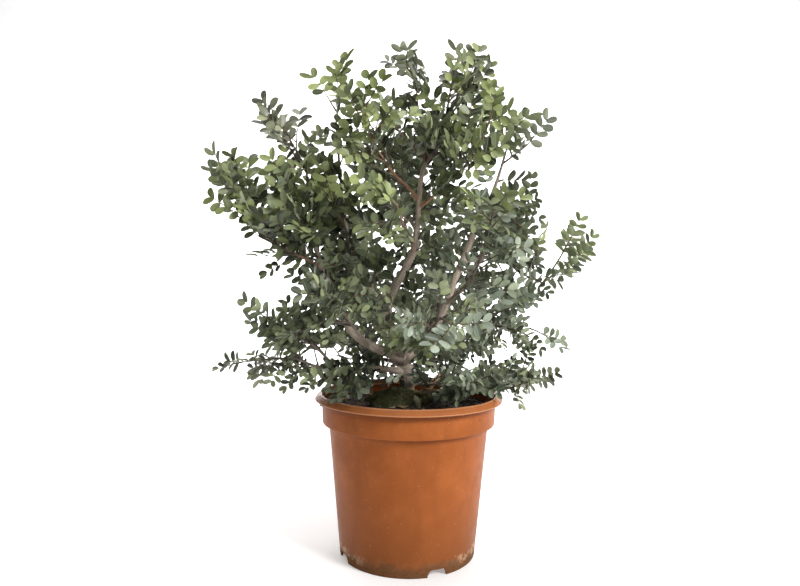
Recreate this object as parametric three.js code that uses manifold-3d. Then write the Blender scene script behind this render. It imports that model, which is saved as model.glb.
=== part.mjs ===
// Mastic tree grown as a bonsai in a round nursery pot. Millimetres, +Z up.
// The origin is on the surface that the pot stands on, at the pot's axis. +X is to the viewer's right
// and -Y is towards the viewer.
import * as THREE from "three";
import { mergeVertices } from "three/addons/utils/BufferGeometryUtils.js";
import Module from "manifold-3d";

const wasm = await Module();
wasm.setup();

const CLEARANCE = 0.3; // between one piece and the next that it rests on
const UP = new THREE.Vector3(0, 0, 1);

// Pot: an injection-moulded container with a rolled lip, a stepped collar and four drain notches.
const POT = {
  height: 205,
  lipRadius: 120,
  lipDrop: 7.5,
  collarTopRadius: 111,
  collarBottomRadius: 110,
  collarBottom: 168,
  shoulder: 2.5,
  bodyTopRadius: 102,
  footRadius: 86.5,
  wall: 2,
  footHeight: 11,
  floorThickness: 2.5,
  sides: 32,
};
const NOTCH = { count: 4, firstDegrees: 24, foot: 26, top: 17, height: 9 };
const DRAIN = { count: 8, radius: 6, ringRadius: 56, sides: 6 };

// Soil: fills the pot to just under the lip, slightly mounded round the trunk.
const SOIL = { edgeHeight: 189.5, mound: 4 };

// Wood: each limb is a line of points on its axis, with radii spread evenly along it.
const LIMB_STEPS = { stout: 28, slim: 42 };
const STOUT_RADIUS = 5;
const SLIM_RADIUS = 3.4;
const LIMBS = {
  trunk: { radii: [10, 15, 10, 8.2, 7.5], path: [[-3, 14, 150], [-3, 12, 193], [-2, 10, 212], [-6, 8, 235], [-13, 6, 256]] },
  leader: {
    radii: [7.5, 6.2, 5.4, 5, 3.8, 3.2, 2.4, 1.7],
    path: [[-13, 6, 256], [-26, 2, 295], [-28, 0, 319], [-19, -3, 340], [4, -6, 385], [8, -6, 413], [14, -4, 485], [27, 0, 506], [38, 4, 532], [45, 6, 566]],
  },
  right_limb: {
    radii: [7, 5.6, 5, 3, 1.8],
    path: [[-9, 8, 245], [15, 25, 263], [36, 38, 289], [50, 44, 318], [61, 48, 348], [82, 52, 400], [93, 54, 424], [106, 56, 453], [119, 58, 487], [131, 60, 528]],
  },
  left_limb: {
    radii: [6.5, 5.6, 4.2, 2.8, 1.7],
    path: [[-9, 6, 245], [-27, -6, 256], [-48, -18, 266], [-71, -28, 284], [-81, -34, 304], [-91, -38, 324], [-102, -40, 349], [-113, -42, 379], [-122, -44, 415], [-127, -46, 479]],
  },
  left_middle: { radii: [4, 2.6, 1.5], path: [[-24, -1, 326], [-40, -12, 329], [-55, -22, 341], [-69, -28, 359], [-75, -30, 386], [-84, -30, 440], [-94, -26, 541]] },
  left_long: { radii: [2.4, 1.3], path: [[-107, -41, 358], [-119, -50, 370], [-133, -56, 377], [-150, -60, 385], [-167, -64, 394]] },
  red_shoot: { radii: [2.3, 1.3], path: [[9, -5, 451], [-4, -18, 466], [-16, -26, 475], [-29, -32, 490], [-46, -40, 516], [-55, -46, 541]] },
  pink_shoot: { radii: [2.4, 1.3], path: [[12, -5, 443], [28, -20, 455], [43, -32, 468], [63, -42, 487], [79, -48, 507]] },
  top_shoot: { radii: [2.1, 1.2], path: [[24, -1, 502], [17, 12, 524], [13, 18, 552], [8, 20, 579], [5, 20, 608]] },
  top_left: { radii: [1.9, 1.3], path: [[22, -2, 498], [6, 14, 518], [-12, 24, 540], [-29, 30, 563]] },
  right_low: { radii: [3, 1.5], path: [[43, 41, 306], [69, 42, 301], [95, 36, 294], [121, 28, 288], [144, 24, 283]] },
  right_branch: { radii: [3, 1.5], path: [[73, 50, 374], [99, 54, 381], [130, 52, 375], [157, 46, 357], [179, 38, 347]] },
  right_upper: { radii: [2.4, 1.4], path: [[93, 54, 424], [111, 50, 429], [131, 44, 437], [147, 38, 444]] },
  low_left: { radii: [4.5, 3, 1.6], path: [[-6, 8, 229], [-27, -8, 235], [-59, -22, 238], [-88, -34, 238], [-115, -42, 243], [-138, -48, 253]] },
  low_left_rise: { radii: [2.4, 1.5], path: [[-91, -35, 239], [-107, -48, 260], [-125, -58, 276]] },
  low_right: { radii: [3.6, 2.4, 1.3], path: [[-2, 10, 216], [28, 8, 214], [64, 0, 213], [94, -8, 212], [120, -14, 212], [143, -18, 220]] },
  stub: { radii: [3, 1.9], path: [[2, 6, 204], [20, -8, 205], [28, -14, 213], [39, -18, 231]] },
  front_low: { radii: [3.6, 1.5], path: [[-10, 5, 249], [-2, -24, 267], [10, -55, 280], [23, -85, 292], [33, -110, 308]] },
  front_left: { radii: [3, 1.4], path: [[-51, -19, 267], [-58, -48, 279], [-70, -80, 300], [-80, -105, 323]] },
  front_upper: { radii: [2.6, 1.4], path: [[4, -6, 385], [2, -35, 399], [-9, -65, 415], [-17, -90, 436]] },
  front_right: { radii: [3, 1.4], path: [[50, 44, 318], [68, 10, 337], [80, -25, 360], [88, -55, 387], [92, -75, 415]] },
  back_middle: { radii: [5, 3, 1.6], path: [[-8, 9, 242], [5, 45, 251], [16, 85, 271], [24, 120, 312], [29, 145, 364], [32, 160, 417]] },
  back_left: { radii: [4.4, 2.8, 1.5], path: [[-13, 7, 256], [-32, 45, 274], [-58, 85, 303], [-78, 115, 348], [-95, 135, 399]] },
  back_right: { radii: [3.6, 1.5], path: [[50, 44, 318], [75, 80, 343], [100, 110, 379], [120, 130, 427]] },
  back_upper: { radii: [3, 1.5], path: [[8, -6, 413], [-3, 30, 435], [-14, 62, 472], [-20, 85, 517]] },
  back_low_left: { radii: [3.2, 1.5], path: [[-6, 9, 232], [-22, 50, 237], [-52, 90, 241], [-85, 120, 252]] },
  back_low_right: { radii: [3.2, 1.5], path: [[-5, 10, 234], [27, 55, 237], [67, 95, 246], [103, 120, 264]] },
  root_left: { radii: [9, 7, 3], path: [[-3, 11, 200], [-26, -2, 196], [-50, -16, 186]] },
  root_front: { radii: [7, 5, 2.5], path: [[0, 8, 199], [10, -20, 194], [14, -44, 184]] },
  root_right: { radii: [7, 5, 2.5], path: [[0, 12, 200], [26, 14, 195], [48, 20, 184]] },
  root_back: { radii: [8, 5, 2.5], path: [[-4, 14, 200], [-14, 38, 195], [-18, 60, 184]] },
};

// Sprays: where each leafy shoot leaves its limb (a share of the limb's line), the place that its last
// leaf reaches, and the same for its fork where it has one.
const SPRAYS = [
  ["low_left", 1, [-241, -60, 244], [-203, -84, 228]],
  ["low_left", 0.45, [-79, -105, 222], [-130, -90, 226]],
  ["low_left_rise", 1, [-205, -72, 324], [-193, -100, 305]],
  ["left_long", 1, [-248.6, -45, 492], [-232, -12, 510]],
  ["left_long", 0.6, [-240, -100, 430], [-190, -98, 392]],
  ["left_limb", 1, [-186, -50, 568], [-142, -20, 569]],
  ["left_limb", 0.93, [-173, -85, 498]],
  ["left_limb", 0.84, [-139, -125, 442]],
  ["left_middle", 1, [-85, -25, 628], [-122, -45, 602]],
  ["left_middle", 0.75, [-105, -110, 477]],
  ["red_shoot", 1, [-62, -55, 597]],
  ["red_shoot", 0.62, [-91, -100, 516]],
  ["red_shoot", 0.85, [-17, -95, 554]],
  ["top_shoot", 0.75, [-42, 22, 643], [-52, 34, 620]],
  ["top_shoot", 1, [-26, 22, 661]],
  ["top_shoot", 0.8, [45, 28, 656]],
  ["leader", 1, [53, -20, 616]],
  ["leader", 0.94, [85, 15, 657]],
  ["leader", 0.8, [31, -85, 525]],
  ["pink_shoot", 1, [117, -45, 612]],
  ["pink_shoot", 0.75, [84, -110, 507]],
  ["right_limb", 1, [141, 45, 599]],
  ["right_limb", 0.95, [203, 75, 571]],
  ["right_limb", 0.88, [199, 85, 515], [190, 100, 540]],
  ["right_upper", 1, [168, 35, 487], [185, 15, 445]],
  ["right_branch", 1, [259, 28, 418], [243.3, 35, 356]],
  ["right_branch", 0.75, [175, -10, 432]],
  ["right_low", 1, [216, 20, 301], [202, -5, 267]],
  ["low_right", 1, [190, -30, 241], [176, -52, 216]],
  ["low_right", 0.5, [77, -100, 239]],
  ["low_right", 0.2, [17, -105, 228]],
  ["front_low", 1, [53, -183, 291]],
  ["front_low", 0.8, [-8, -170, 311]],
  ["front_low", 0.5, [-16, -135, 268]],
  ["front_left", 1, [-100, -170, 346]],
  ["front_left", 0.65, [-120, -125, 303], [-164, -118, 279]],
  ["front_upper", 1, [-43, -154, 453]],
  ["front_upper", 0.7, [-65, -140, 406]],
  ["front_right", 1, [98, -120, 453]],
  ["front_right", 0.75, [133, -95, 377]],
  ["front_right", 0.45, [74, -120, 329]],
  ["back_middle", 1, [33, 179, 490]],
  ["back_middle", 0.75, [82, 177.5, 420]],
  ["back_middle", 0.5, [-13, 181.7, 332]],
  ["back_left", 1, [-134, 170, 470]],
  ["back_left", 0.75, [-155, 165, 365]],
  ["back_left", 0.55, [-64, 180, 423]],
  ["back_right", 1, [151, 165, 495]],
  ["back_right", 0.7, [188, 140, 418]],
  ["back_right", 0.4, [149, 165, 342]],
  ["back_upper", 1, [-37, 120, 599]],
  ["back_upper", 0.75, [29, 120, 585]],
  ["back_upper", 0.5, [-73, 125, 524]],
  ["back_low_left", 1, [-142, 160, 262]],
  ["back_low_right", 1, [159, 160, 289]],
  ["back_low_right", 0.5, [67, 178, 254]],
  ["right_low", 0.55, [165, 0, 345]],
];

// Shoots: how a twig bends, forks and carries its leaves. Lengths of side shoots are shares of the twig.
const SHOOT = {
  rootRadius: 1.6,
  tipRadius: 1.1,
  twigStep: 34,
  rise: 0.1,
  sway: 0.06,
  leafSpacing: 16,
  fewestLeaves: 2,
  firstLeaf: 0.2,
  rootSpread: 1.1,
  tipSpread: 0.5,
  endSpread: 0.15,
  endLeaf: 42,
  shortest: 0.4,
  sideStarts: [0.3, 0.62],
  sideLengths: [0.55, 0.42],
  forkStart: 0.35,
};

// Leaf: even-pinnate, with a narrow winged rib and blunt oval leaflets in opposite pairs.
const LEAF = {
  petiole: 8,
  pairSpacing: 10.8,
  leafletLength: 18.5,
  leafletHalfWidth: 4.9,
  sideAngle: 1.12,
  endAngle: 0.66,
  ribHalfWidth: 1,
  ribThickness: 1.6,
  droop: 0.0022,
  lift: 0.16,
  clearance: 0.6,
};
const ROOT_HALF = 0.5; // half the width of a side leaf's stalk where it is sunk in the twig
const LEAVES_PER_SPRAY = 2;
const LONG_TWIG = 85; // a twig over this length keeps one leaf more
const LOW_LEAF = { size: 0.68, height: 240, fullFrom: 430 };
const CROWN = { halfWidth: 260, middle: 20 };

const MATERIALS = {
  pot: new THREE.MeshStandardMaterial({ color: 0xb8683a, roughness: 0.45, metalness: 0 }),
  soil: new THREE.MeshStandardMaterial({ color: 0x2a211b, roughness: 0.95, metalness: 0 }),
  bark: new THREE.MeshStandardMaterial({ color: 0x8e7866, roughness: 0.85, metalness: 0 }),
  leaf: new THREE.MeshStandardMaterial({ color: 0x6c7352, roughness: 0.5, metalness: 0 }),
};

// Solids and meshes

function solidOf(geometry) {
  const bare = new THREE.BufferGeometry();
  bare.setAttribute("position", geometry.getAttribute("position"));
  if (geometry.index) bare.setIndex(geometry.index);
  const merged = mergeVertices(bare, 1e-4);
  return new wasm.Manifold(
    new wasm.Mesh({
      numProp: 3,
      vertProperties: new Float32Array(merged.attributes.position.array),
      triVerts: new Uint32Array(merged.index.array),
    }),
  );
}

function meshOf(solid, name, material) {
  const made = solid.getMesh();
  const geometry = new THREE.BufferGeometry();
  geometry.setAttribute("position", new THREE.BufferAttribute(made.vertProperties, made.numProp));
  geometry.setIndex(new THREE.BufferAttribute(made.triVerts, 1));
  geometry.computeVertexNormals();
  const mesh = new THREE.Mesh(geometry, material);
  mesh.name = name;
  return mesh;
}

function largestPiece(solid) {
  const pieces = solid.decompose();
  return pieces.reduce((best, piece) => (piece.volume() > best.volume() ? piece : best));
}

// Repeatable random draws, each from 0 to 1
function seededDraw(seed) {
  let state = (seed * 2654435761) % 4294967296;
  return () => {
    state = (Math.imul(state, 1664525) + 1013904223) >>> 0;
    return state / 4294967296;
  };
}

function between(draw, low, high) {
  return low + (high - low) * draw();
}

// Pot

function lathe(profile, sides) {
  // LatheGeometry turns its profile about Y, so the solid is stood up on Z.
  const geometry = new THREE.LatheGeometry(profile.map(([r, z]) => new THREE.Vector2(r, z)), sides);
  return geometry.rotateX(Math.PI / 2);
}

function bodyRadius(z) {
  return POT.footRadius + ((POT.bodyTopRadius - POT.footRadius) * z) / POT.collarBottom;
}

function potSolid() {
  const { height, lipRadius, lipDrop, collarTopRadius, collarBottomRadius, collarBottom, shoulder, wall } = POT;
  const lipBottom = height - lipDrop;
  const floorTop = POT.footHeight + POT.floorThickness;
  const innerShoulder = collarBottom + shoulder;
  const profile = [
    [0, POT.footHeight],
    [POT.footRadius - 2 * wall, POT.footHeight],
    [POT.footRadius - 1.3 * wall, 0],
    [POT.footRadius, 0],
    [POT.bodyTopRadius, collarBottom],
    [collarBottomRadius, collarBottom + 0.6],
    [collarTopRadius, lipBottom - 1],
    [lipRadius - 1, lipBottom - 0.4],
    [lipRadius, lipBottom + 1],
    [lipRadius - 2.2, height - 2.4],
    [collarTopRadius + 2.2, height],
    [collarTopRadius - 0.4, height - 0.8],
    [collarTopRadius - wall, lipBottom - 2],
    [collarBottomRadius - wall, innerShoulder],
    [POT.bodyTopRadius - wall, innerShoulder - 1],
    [bodyRadius(floorTop) - wall, floorTop],
    [0, floorTop],
  ];
  let pot = solidOf(lathe(profile, POT.sides));
  const notch = new THREE.Shape([
    new THREE.Vector2(-NOTCH.foot / 2, -1),
    new THREE.Vector2(NOTCH.foot / 2, -1),
    new THREE.Vector2(NOTCH.top / 2, NOTCH.height),
    new THREE.Vector2(-NOTCH.top / 2, NOTCH.height),
  ]);
  for (let i = 0; i < NOTCH.count; i++) {
    const cut = new THREE.ExtrudeGeometry(notch, { depth: 12 * wall, bevelEnabled: false });
    cut.translate(0, 0, POT.footRadius - 6 * wall);
    cut.rotateX(Math.PI / 2);
    cut.rotateZ(THREE.MathUtils.degToRad(NOTCH.firstDegrees) + (i * 2 * Math.PI) / NOTCH.count);
    pot = pot.subtract(solidOf(cut));
  }
  for (let i = 0; i < DRAIN.count; i++) {
    const hole = new THREE.CylinderGeometry(DRAIN.radius, DRAIN.radius, 3 * POT.floorThickness, DRAIN.sides);
    hole.rotateX(Math.PI / 2);
    hole.translate(DRAIN.ringRadius, 0, POT.footHeight + POT.floorThickness / 2);
    hole.rotateZ((i * 2 * Math.PI) / DRAIN.count);
    pot = pot.subtract(solidOf(hole));
  }
  return pot;
}

// Wood

function limbCurve(limb) {
  const points = limb.path.map((p) => new THREE.Vector3(...p));
  return new THREE.CatmullRomCurve3(points, false, "catmullrom", 0.5);
}

function radiusAt(radii, share) {
  const place = share * (radii.length - 1);
  const i = Math.min(Math.floor(place), radii.length - 2);
  return radii[i] + (radii[i + 1] - radii[i]) * (place - i);
}

// A closed tube along a curve, with a radius that changes along it. Spare is added to it all round.
function taperedTube(curve, radii, sides, steps, spare) {
  const frames = curve.computeFrenetFrames(steps, false);
  const positions = [];
  const index = [];
  for (let i = 0; i <= steps; i++) {
    const centre = curve.getPointAt(i / steps);
    if (i === 0) centre.addScaledVector(frames.tangents[0], -spare);
    if (i === steps) centre.addScaledVector(frames.tangents[steps], spare);
    const radius = radiusAt(radii, i / steps) + spare / Math.cos(Math.PI / sides);
    for (let j = 0; j < sides; j++) {
      const turn = (2 * Math.PI * j) / sides;
      const point = centre
        .clone()
        .addScaledVector(frames.normals[i], radius * Math.cos(turn))
        .addScaledVector(frames.binormals[i], radius * Math.sin(turn));
      positions.push(point.x, point.y, point.z);
    }
  }
  for (let i = 0; i < steps; i++)
    for (let j = 0; j < sides; j++) {
      const a = i * sides + j;
      const b = i * sides + ((j + 1) % sides);
      index.push(a, b, a + sides, b, b + sides, a + sides);
    }
  const last = steps * sides;
  for (let j = 1; j < sides - 1; j++) {
    index.push(0, j + 1, j);
    index.push(last, last + j, last + j + 1);
  }
  const geometry = new THREE.BufferGeometry();
  geometry.setAttribute("position", new THREE.Float32BufferAttribute(positions, 3));
  geometry.setIndex(index);
  return geometry;
}

function sidesFor(radius) {
  if (radius > STOUT_RADIUS) return 6;
  return radius > SLIM_RADIUS ? 5 : 4;
}

function woodSolid(spare) {
  let wood = null;
  for (const limb of Object.values(LIMBS)) {
    const curve = limbCurve(limb);
    const stepLength = limb.radii[0] > STOUT_RADIUS ? LIMB_STEPS.stout : LIMB_STEPS.slim;
    const steps = Math.max(3, Math.round(curve.getLength() / stepLength));
    const tube = solidOf(taperedTube(curve, limb.radii, sidesFor(limb.radii[0]), steps, spare));
    wood = wood ? wood.add(tube) : tube;
  }
  return wood;
}

// Shoots and leaves

// Leaves are smaller on the low shoots and full-sized from the middle of the crown up.
function leafSizeAt(height) {
  return THREE.MathUtils.mapLinear(
    THREE.MathUtils.clamp(height, LOW_LEAF.height, LOW_LEAF.fullFrom),
    LOW_LEAF.height,
    LOW_LEAF.fullFrom,
    LOW_LEAF.size,
    1,
  );
}

// A twig ends short of the place that it reaches by the length of its last leaf.
function twigCurve(root, reached, draw) {
  const reach = root.distanceTo(reached);
  const endLeaf = SHOOT.endLeaf * leafSizeAt(reached.z);
  const tip = root.clone().lerp(reached, Math.max(1 - endLeaf / reach, SHOOT.shortest));
  const length = root.distanceTo(tip);
  const middle = root.clone().lerp(tip, 0.5);
  middle.x += between(draw, -SHOOT.sway, SHOOT.sway) * length;
  middle.y += between(draw, -SHOOT.sway, SHOOT.sway) * length;
  middle.z += SHOOT.rise * (0.5 * length - (tip.z - root.z));
  return new THREE.QuadraticBezierCurve3(root, middle, tip);
}

// The twigs of one spray: its main one, then its fork, or the leafy side shoots that are too fine to
// be solid here.
function shootsOf([limbName, share, tip, forkTip], draw) {
  const root = limbCurve(LIMBS[limbName]).getPoint(share);
  const main = twigCurve(root, new THREE.Vector3(...tip), draw);
  const shoots = [{ curve: main, length: root.distanceTo(main.v2), solid: true }];
  if (forkTip) {
    const from = main.getPoint(SHOOT.forkStart);
    const fork = twigCurve(from, new THREE.Vector3(...forkTip), draw);
    shoots.push({ curve: fork, length: from.distanceTo(fork.v2), solid: true });
    return shoots;
  }
  SHOOT.sideStarts.forEach((start, i) => {
    const from = main.getPoint(start);
    const along = main.getTangent(start);
    const across = along.clone().cross(UP).normalize();
    const turn = between(draw, 0.7, 1);
    const reach = SHOOT.sideLengths[i] * root.distanceTo(new THREE.Vector3(...tip));
    const side = i % 2 === 0 ? reach : -reach;
    const to = from
      .clone()
      .addScaledVector(along, Math.cos(turn) * reach)
      .addScaledVector(across, Math.sin(turn) * side);
    to.z += between(draw, 0.05, 0.3) * reach;
    const twig = twigCurve(from, to, draw);
    shoots.push({ curve: twig, length: from.distanceTo(twig.v2), solid: false });
  });
  return shoots;
}

// Where each leaf of a shoot grows, which way it points and faces, its size and its pairs of leaflets.
function leavesOf(shoot, draw) {
  const spacing = SHOOT.leafSpacing * leafSizeAt(shoot.curve.v0.z);
  const count = Math.max(SHOOT.fewestLeaves, Math.round((shoot.length * (1 - SHOOT.firstLeaf)) / spacing) + 1);
  const leaves = [];
  for (let i = 0; i < count; i++) {
    const step = i / (count - 1);
    const share = SHOOT.firstLeaf + (1 - SHOOT.firstLeaf) * step;
    const root = shoot.curve.getPoint(share);
    const along = shoot.curve.getTangent(share);
    const across = along.clone().cross(UP).normalize();
    const above = across.clone().cross(along);
    const last = i === count - 1;
    const turn = (i % 2) * Math.PI + between(draw, -0.75, 0.75);
    const spread = last ? SHOOT.endSpread : SHOOT.rootSpread + (SHOOT.tipSpread - SHOOT.rootSpread) * step;
    const aim = along
      .clone()
      .multiplyScalar(Math.cos(spread))
      .addScaledVector(across, Math.sin(spread) * Math.cos(turn))
      .addScaledVector(above, Math.sin(spread) * Math.sin(turn))
      .normalize();
    const face = new THREE.Vector3((0.6 * root.x) / CROWN.halfWidth, root.y > CROWN.middle ? 0.8 : -0.8, 0.4);
    face.x += between(draw, -0.6, 0.6);
    face.y += between(draw, -0.3, 0.3);
    face.z += between(draw, -0.4, 0.5);
    face.addScaledVector(aim, -face.dot(aim)).normalize();
    const size = between(draw, 0.82, 1.1) * (last ? 0.92 : 1) * leafSizeAt(root.z);
    const pairs = 3 + Math.floor(between(draw, 0, 1.7) * (last ? 0.6 : 1));
    leaves.push({ root, aim, face, size, pairs });
  }
  return leaves;
}

// One leaf as one thin arched blade, its outline cut to the rib between the leaflets. The rib is its
// thickest line, and the leaflets thin out to their edges. A leaf that ends a twig grows straight out
// of it: the twig's rings, each a diamond, run on into the rib's.
function leafBlade({ root, aim, face, size, pairs }, twig) {
  const across = face.clone().cross(aim);
  const points = [];
  const index = [];
  const place = (x, y, z) => {
    const dip = z - (LEAF.droop * x * x) / size;
    return points.push(root.clone().addScaledVector(aim, x).addScaledVector(across, y).addScaledVector(face, dip)) - 1;
  };
  const halfRib = LEAF.ribThickness / 2;
  const ribAt = (x, half) => ({ top: place(x, 0, half), bottom: place(x, 0, -half) });
  const spacing = LEAF.pairSpacing * size;
  const start = LEAF.petiole * size;
  const rootHalf = twig ? SHOOT.tipRadius : ROOT_HALF;
  const ribs = [ribAt(0, rootHalf)];
  for (let i = 0; i < pairs; i++) ribs.push(ribAt(start + i * spacing, halfRib));
  const left = place(0, rootHalf, 0);
  const right = place(0, -rootHalf, 0);
  const end = place(start + (pairs - 1) * spacing + 2, 0, 0);
  for (const side of [1, -1]) {
    const triangle = (a, b, c) => (side > 0 ? index.push(a, b, c) : index.push(a, c, b));
    const toEdge = (rib, a, b) => {
      triangle(rib.top, b, a);
      triangle(rib.bottom, a, b);
    };
    const alongRib = (rib, next, a) => {
      triangle(rib.top, next.top, a);
      triangle(rib.bottom, a, next.bottom);
    };
    let valley = place(start - 0.45 * spacing, side * LEAF.ribHalfWidth, 0);
    toEdge(ribs[0], side > 0 ? left : right, valley);
    alongRib(ribs[0], ribs[1], valley);
    for (let i = 1; i <= pairs; i++) {
      const angle = i < pairs ? LEAF.sideAngle : LEAF.endAngle;
      const bulge = size * (0.86 + 0.14 * Math.sin((Math.PI * i) / (pairs + 1)));
      const base = start + (i - 1) * spacing;
      const outline = (far, wide) => {
        const reach = far * LEAF.leafletLength * bulge;
        const width = wide * LEAF.leafletHalfWidth * bulge;
        return place(
          base + Math.cos(angle) * reach + Math.sin(angle) * width,
          side * (Math.sin(angle) * reach - Math.cos(angle) * width),
          LEAF.lift * reach * (1 - 0.6 * far),
        );
      };
      const next = i < pairs ? place(base + 0.55 * spacing, side * LEAF.ribHalfWidth, 0) : end;
      const edge = [valley, outline(0.46, -1), outline(0.95, -0.5), outline(0.95, 0.5), outline(0.46, 1), next];
      for (let k = 1; k < edge.length; k++) toEdge(ribs[i], edge[k - 1], edge[k]);
      if (i < pairs) alongRib(ribs[i], ribs[i + 1], next);
      valley = next;
    }
  }
  let ring = [left, ribs[0].top, right, ribs[0].bottom];
  const steps = twig ? Math.ceil(twig.getLength() / SHOOT.twigStep) : 0;
  for (let i = 1; i <= steps; i++) {
    const share = 1 - i / steps;
    const centre = twig.getPoint(share);
    const along = twig.getTangent(share);
    const radius = SHOOT.rootRadius + (SHOOT.tipRadius - SHOOT.rootRadius) * share;
    const flat = across.clone().addScaledVector(along, -across.dot(along)).normalize().multiplyScalar(radius);
    const high = along.clone().cross(flat);
    const behind = [flat, high, flat.clone().negate(), high.clone().negate()];
    const next = behind.map((offset) => points.push(centre.clone().add(offset)) - 1);
    for (let j = 0; j < 4; j++) {
      const k = (j + 1) % 4;
      index.push(next[j], next[k], ring[j], next[k], ring[k], ring[j]);
    }
    ring = next;
  }
  index.push(ring[0], ring[3], ring[2], ring[0], ring[2], ring[1]);
  const geometry = new THREE.BufferGeometry().setFromPoints(points);
  geometry.setIndex(index);
  return geometry;
}

// One spray before its side leaves: its twigs, each with the leaf at its end.
function budOf(spray, seed) {
  const draw = seededDraw(seed);
  const shoots = shootsOf(spray, draw);
  const grown = shoots.map((shoot) => leavesOf(shoot, draw));
  const built = shoots.filter((shoot) => shoot.solid);
  const twigs = built.map((shoot, i) => solidOf(leafBlade(grown[i].at(-1), shoot.curve)));
  const solid = largestPiece(twigs.reduce((all, twig) => all.add(twig)).subtract(woodRoom));
  const side = grown[0].slice(0, -1);
  const third = Math.floor(side.length / 3);
  const firstChoices = [side[side.length - 1 - third], side[third]];
  const sideLeaves = LEAVES_PER_SPRAY - built.length + (shoots[0].length > LONG_TWIG ? 1 : 0);
  return { solid, sideLeaves, leaves: [...new Set([...firstChoices, ...side])] };
}

function soilSolid() {
  const gap = CLEARANCE;
  const floorTop = POT.footHeight + POT.floorThickness + gap;
  const ledge = POT.collarBottom + POT.shoulder + gap;
  const profile = [
    [0, floorTop],
    [bodyRadius(floorTop) - POT.wall - 2 * gap, floorTop],
    [POT.bodyTopRadius - POT.wall - 2 * gap, ledge],
    [POT.collarBottomRadius - POT.wall - 2 * gap, ledge],
    [POT.collarBottomRadius - POT.wall - gap, SOIL.edgeHeight],
    [0, SOIL.edgeHeight + SOIL.mound],
  ];
  return solidOf(lathe(profile, POT.sides)).subtract(woodRoom);
}

const pot = potSolid();
const wood = woodSolid(0);
const woodRoom = woodSolid(CLEARANCE);
const soil = largestPiece(soilSolid());
const buds = SPRAYS.map((spray, i) => budOf(spray, i + 1));

const tree = new THREE.Group();
tree.add(meshOf(pot, "pot", MATERIALS.pot));
tree.add(meshOf(soil, "soil", MATERIALS.soil));
tree.add(meshOf(wood, "trunk_and_limbs", MATERIALS.bark));
buds.forEach((bud, i) => {
  const others = [pot, soil, wood, ...buds.filter((other) => other !== bud).map((other) => other.solid)];
  const isClear = (blade) => others.every((other) => other.minGap(blade, LEAF.clearance) >= LEAF.clearance);
  for (const leaf of bud.leaves) {
    if (bud.sideLeaves === 0) break;
    const blade = solidOf(leafBlade(leaf));
    if (!isClear(blade)) continue;
    bud.solid = bud.solid.add(blade);
    bud.sideLeaves--;
  }
  tree.add(meshOf(bud.solid, `spray_${String(i + 1).padStart(2, "0")}`, MATERIALS.leaf));
});

export default tree;
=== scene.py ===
"""Mastic tree grown as a bonsai in a round nursery pot.

Sizes are written in millimetres and scaled to metres when a mesh is made. Those that go straight into a
node or a lamp are in metres. +Z is up, -Y is towards the viewer, and the origin is on the floor under the
pot's middle.
"""
import math

import bmesh
import bpy
import numpy as np
from mathutils import Matrix, Vector
from mathutils.kdtree import KDTree


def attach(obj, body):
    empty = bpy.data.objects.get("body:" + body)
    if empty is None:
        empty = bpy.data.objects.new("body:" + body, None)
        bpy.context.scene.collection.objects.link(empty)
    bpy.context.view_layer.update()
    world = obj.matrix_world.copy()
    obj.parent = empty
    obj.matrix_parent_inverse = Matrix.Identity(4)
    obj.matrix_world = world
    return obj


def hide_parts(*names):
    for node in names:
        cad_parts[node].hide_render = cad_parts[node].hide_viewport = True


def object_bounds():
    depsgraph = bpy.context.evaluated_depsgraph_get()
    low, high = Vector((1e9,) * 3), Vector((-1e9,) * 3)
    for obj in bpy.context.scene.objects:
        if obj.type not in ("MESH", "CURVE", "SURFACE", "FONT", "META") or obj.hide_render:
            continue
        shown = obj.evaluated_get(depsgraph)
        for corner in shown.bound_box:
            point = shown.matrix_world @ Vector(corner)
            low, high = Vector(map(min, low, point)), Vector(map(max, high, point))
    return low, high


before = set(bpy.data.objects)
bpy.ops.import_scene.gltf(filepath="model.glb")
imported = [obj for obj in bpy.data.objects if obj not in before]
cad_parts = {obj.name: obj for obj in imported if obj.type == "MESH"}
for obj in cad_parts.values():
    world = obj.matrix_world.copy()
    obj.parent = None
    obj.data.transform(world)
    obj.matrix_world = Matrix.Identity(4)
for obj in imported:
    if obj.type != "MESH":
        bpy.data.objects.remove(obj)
cad_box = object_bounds()


# Pot
# An injection-moulded nursery pot of satin orange-brown plastic, all one piece: a lip rolled out over a
# stepped collar, a tapering wall, a raised floor with drain holes and a foot ring with four notches.
# Hard water and damp soil have left lime and dirt on its foot, and handling has left small scuffs.

MM = 0.001
POT_SEGMENTS = 144
POT_FLOOR = (11.0, 13.5)
NOTCHES = 4
NOTCH_FIRST = math.radians(24)
NOTCH_START = 78
NOTCH_DEPTH = 20
NOTCH_OUTLINE = [(-13, -2), (13, -2), (12.2, 3), (10.4, 7.2), (8.2, 9), (-8.2, 9), (-10.4, 7.2), (-12.2, 3)]
DRAIN_HOLE_RADIUS = 6.0
DRAIN_RING_RADIUS = 56.0
DRAIN_HOLES = 8
DRAIN_CUT_START = 8
DRAIN_CUT_DEPTH = 10
# Heights in metres over which a mark fades in, and then out: painted shadow under the collar and the lip,
# painted highlight and polish on the lip, and painted shade towards the foot.
UNDER_COLLAR = ((0.160, 0.1675), (0.168, 0.169))
UNDER_LIP = ((0.1865, 0.1955), (0.1968, 0.1978))
LIP_LOWER_EDGE = ((0.1970, 0.1976), (0.1984, 0.1992))
LIP_CROWN = (0.2032, 0.2046)
LIP_FACE = (0.1968, 0.1985)
POLISHED_LIP = (0.1970, 0.1985)
PAINTED_SHADE_TOWARDS_FOOT = (0.0, 0.12)
# How far to either side of the pot's middle the lime sets in, in metres.
LIME_BESIDE = (0.045, 0.078)


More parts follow.
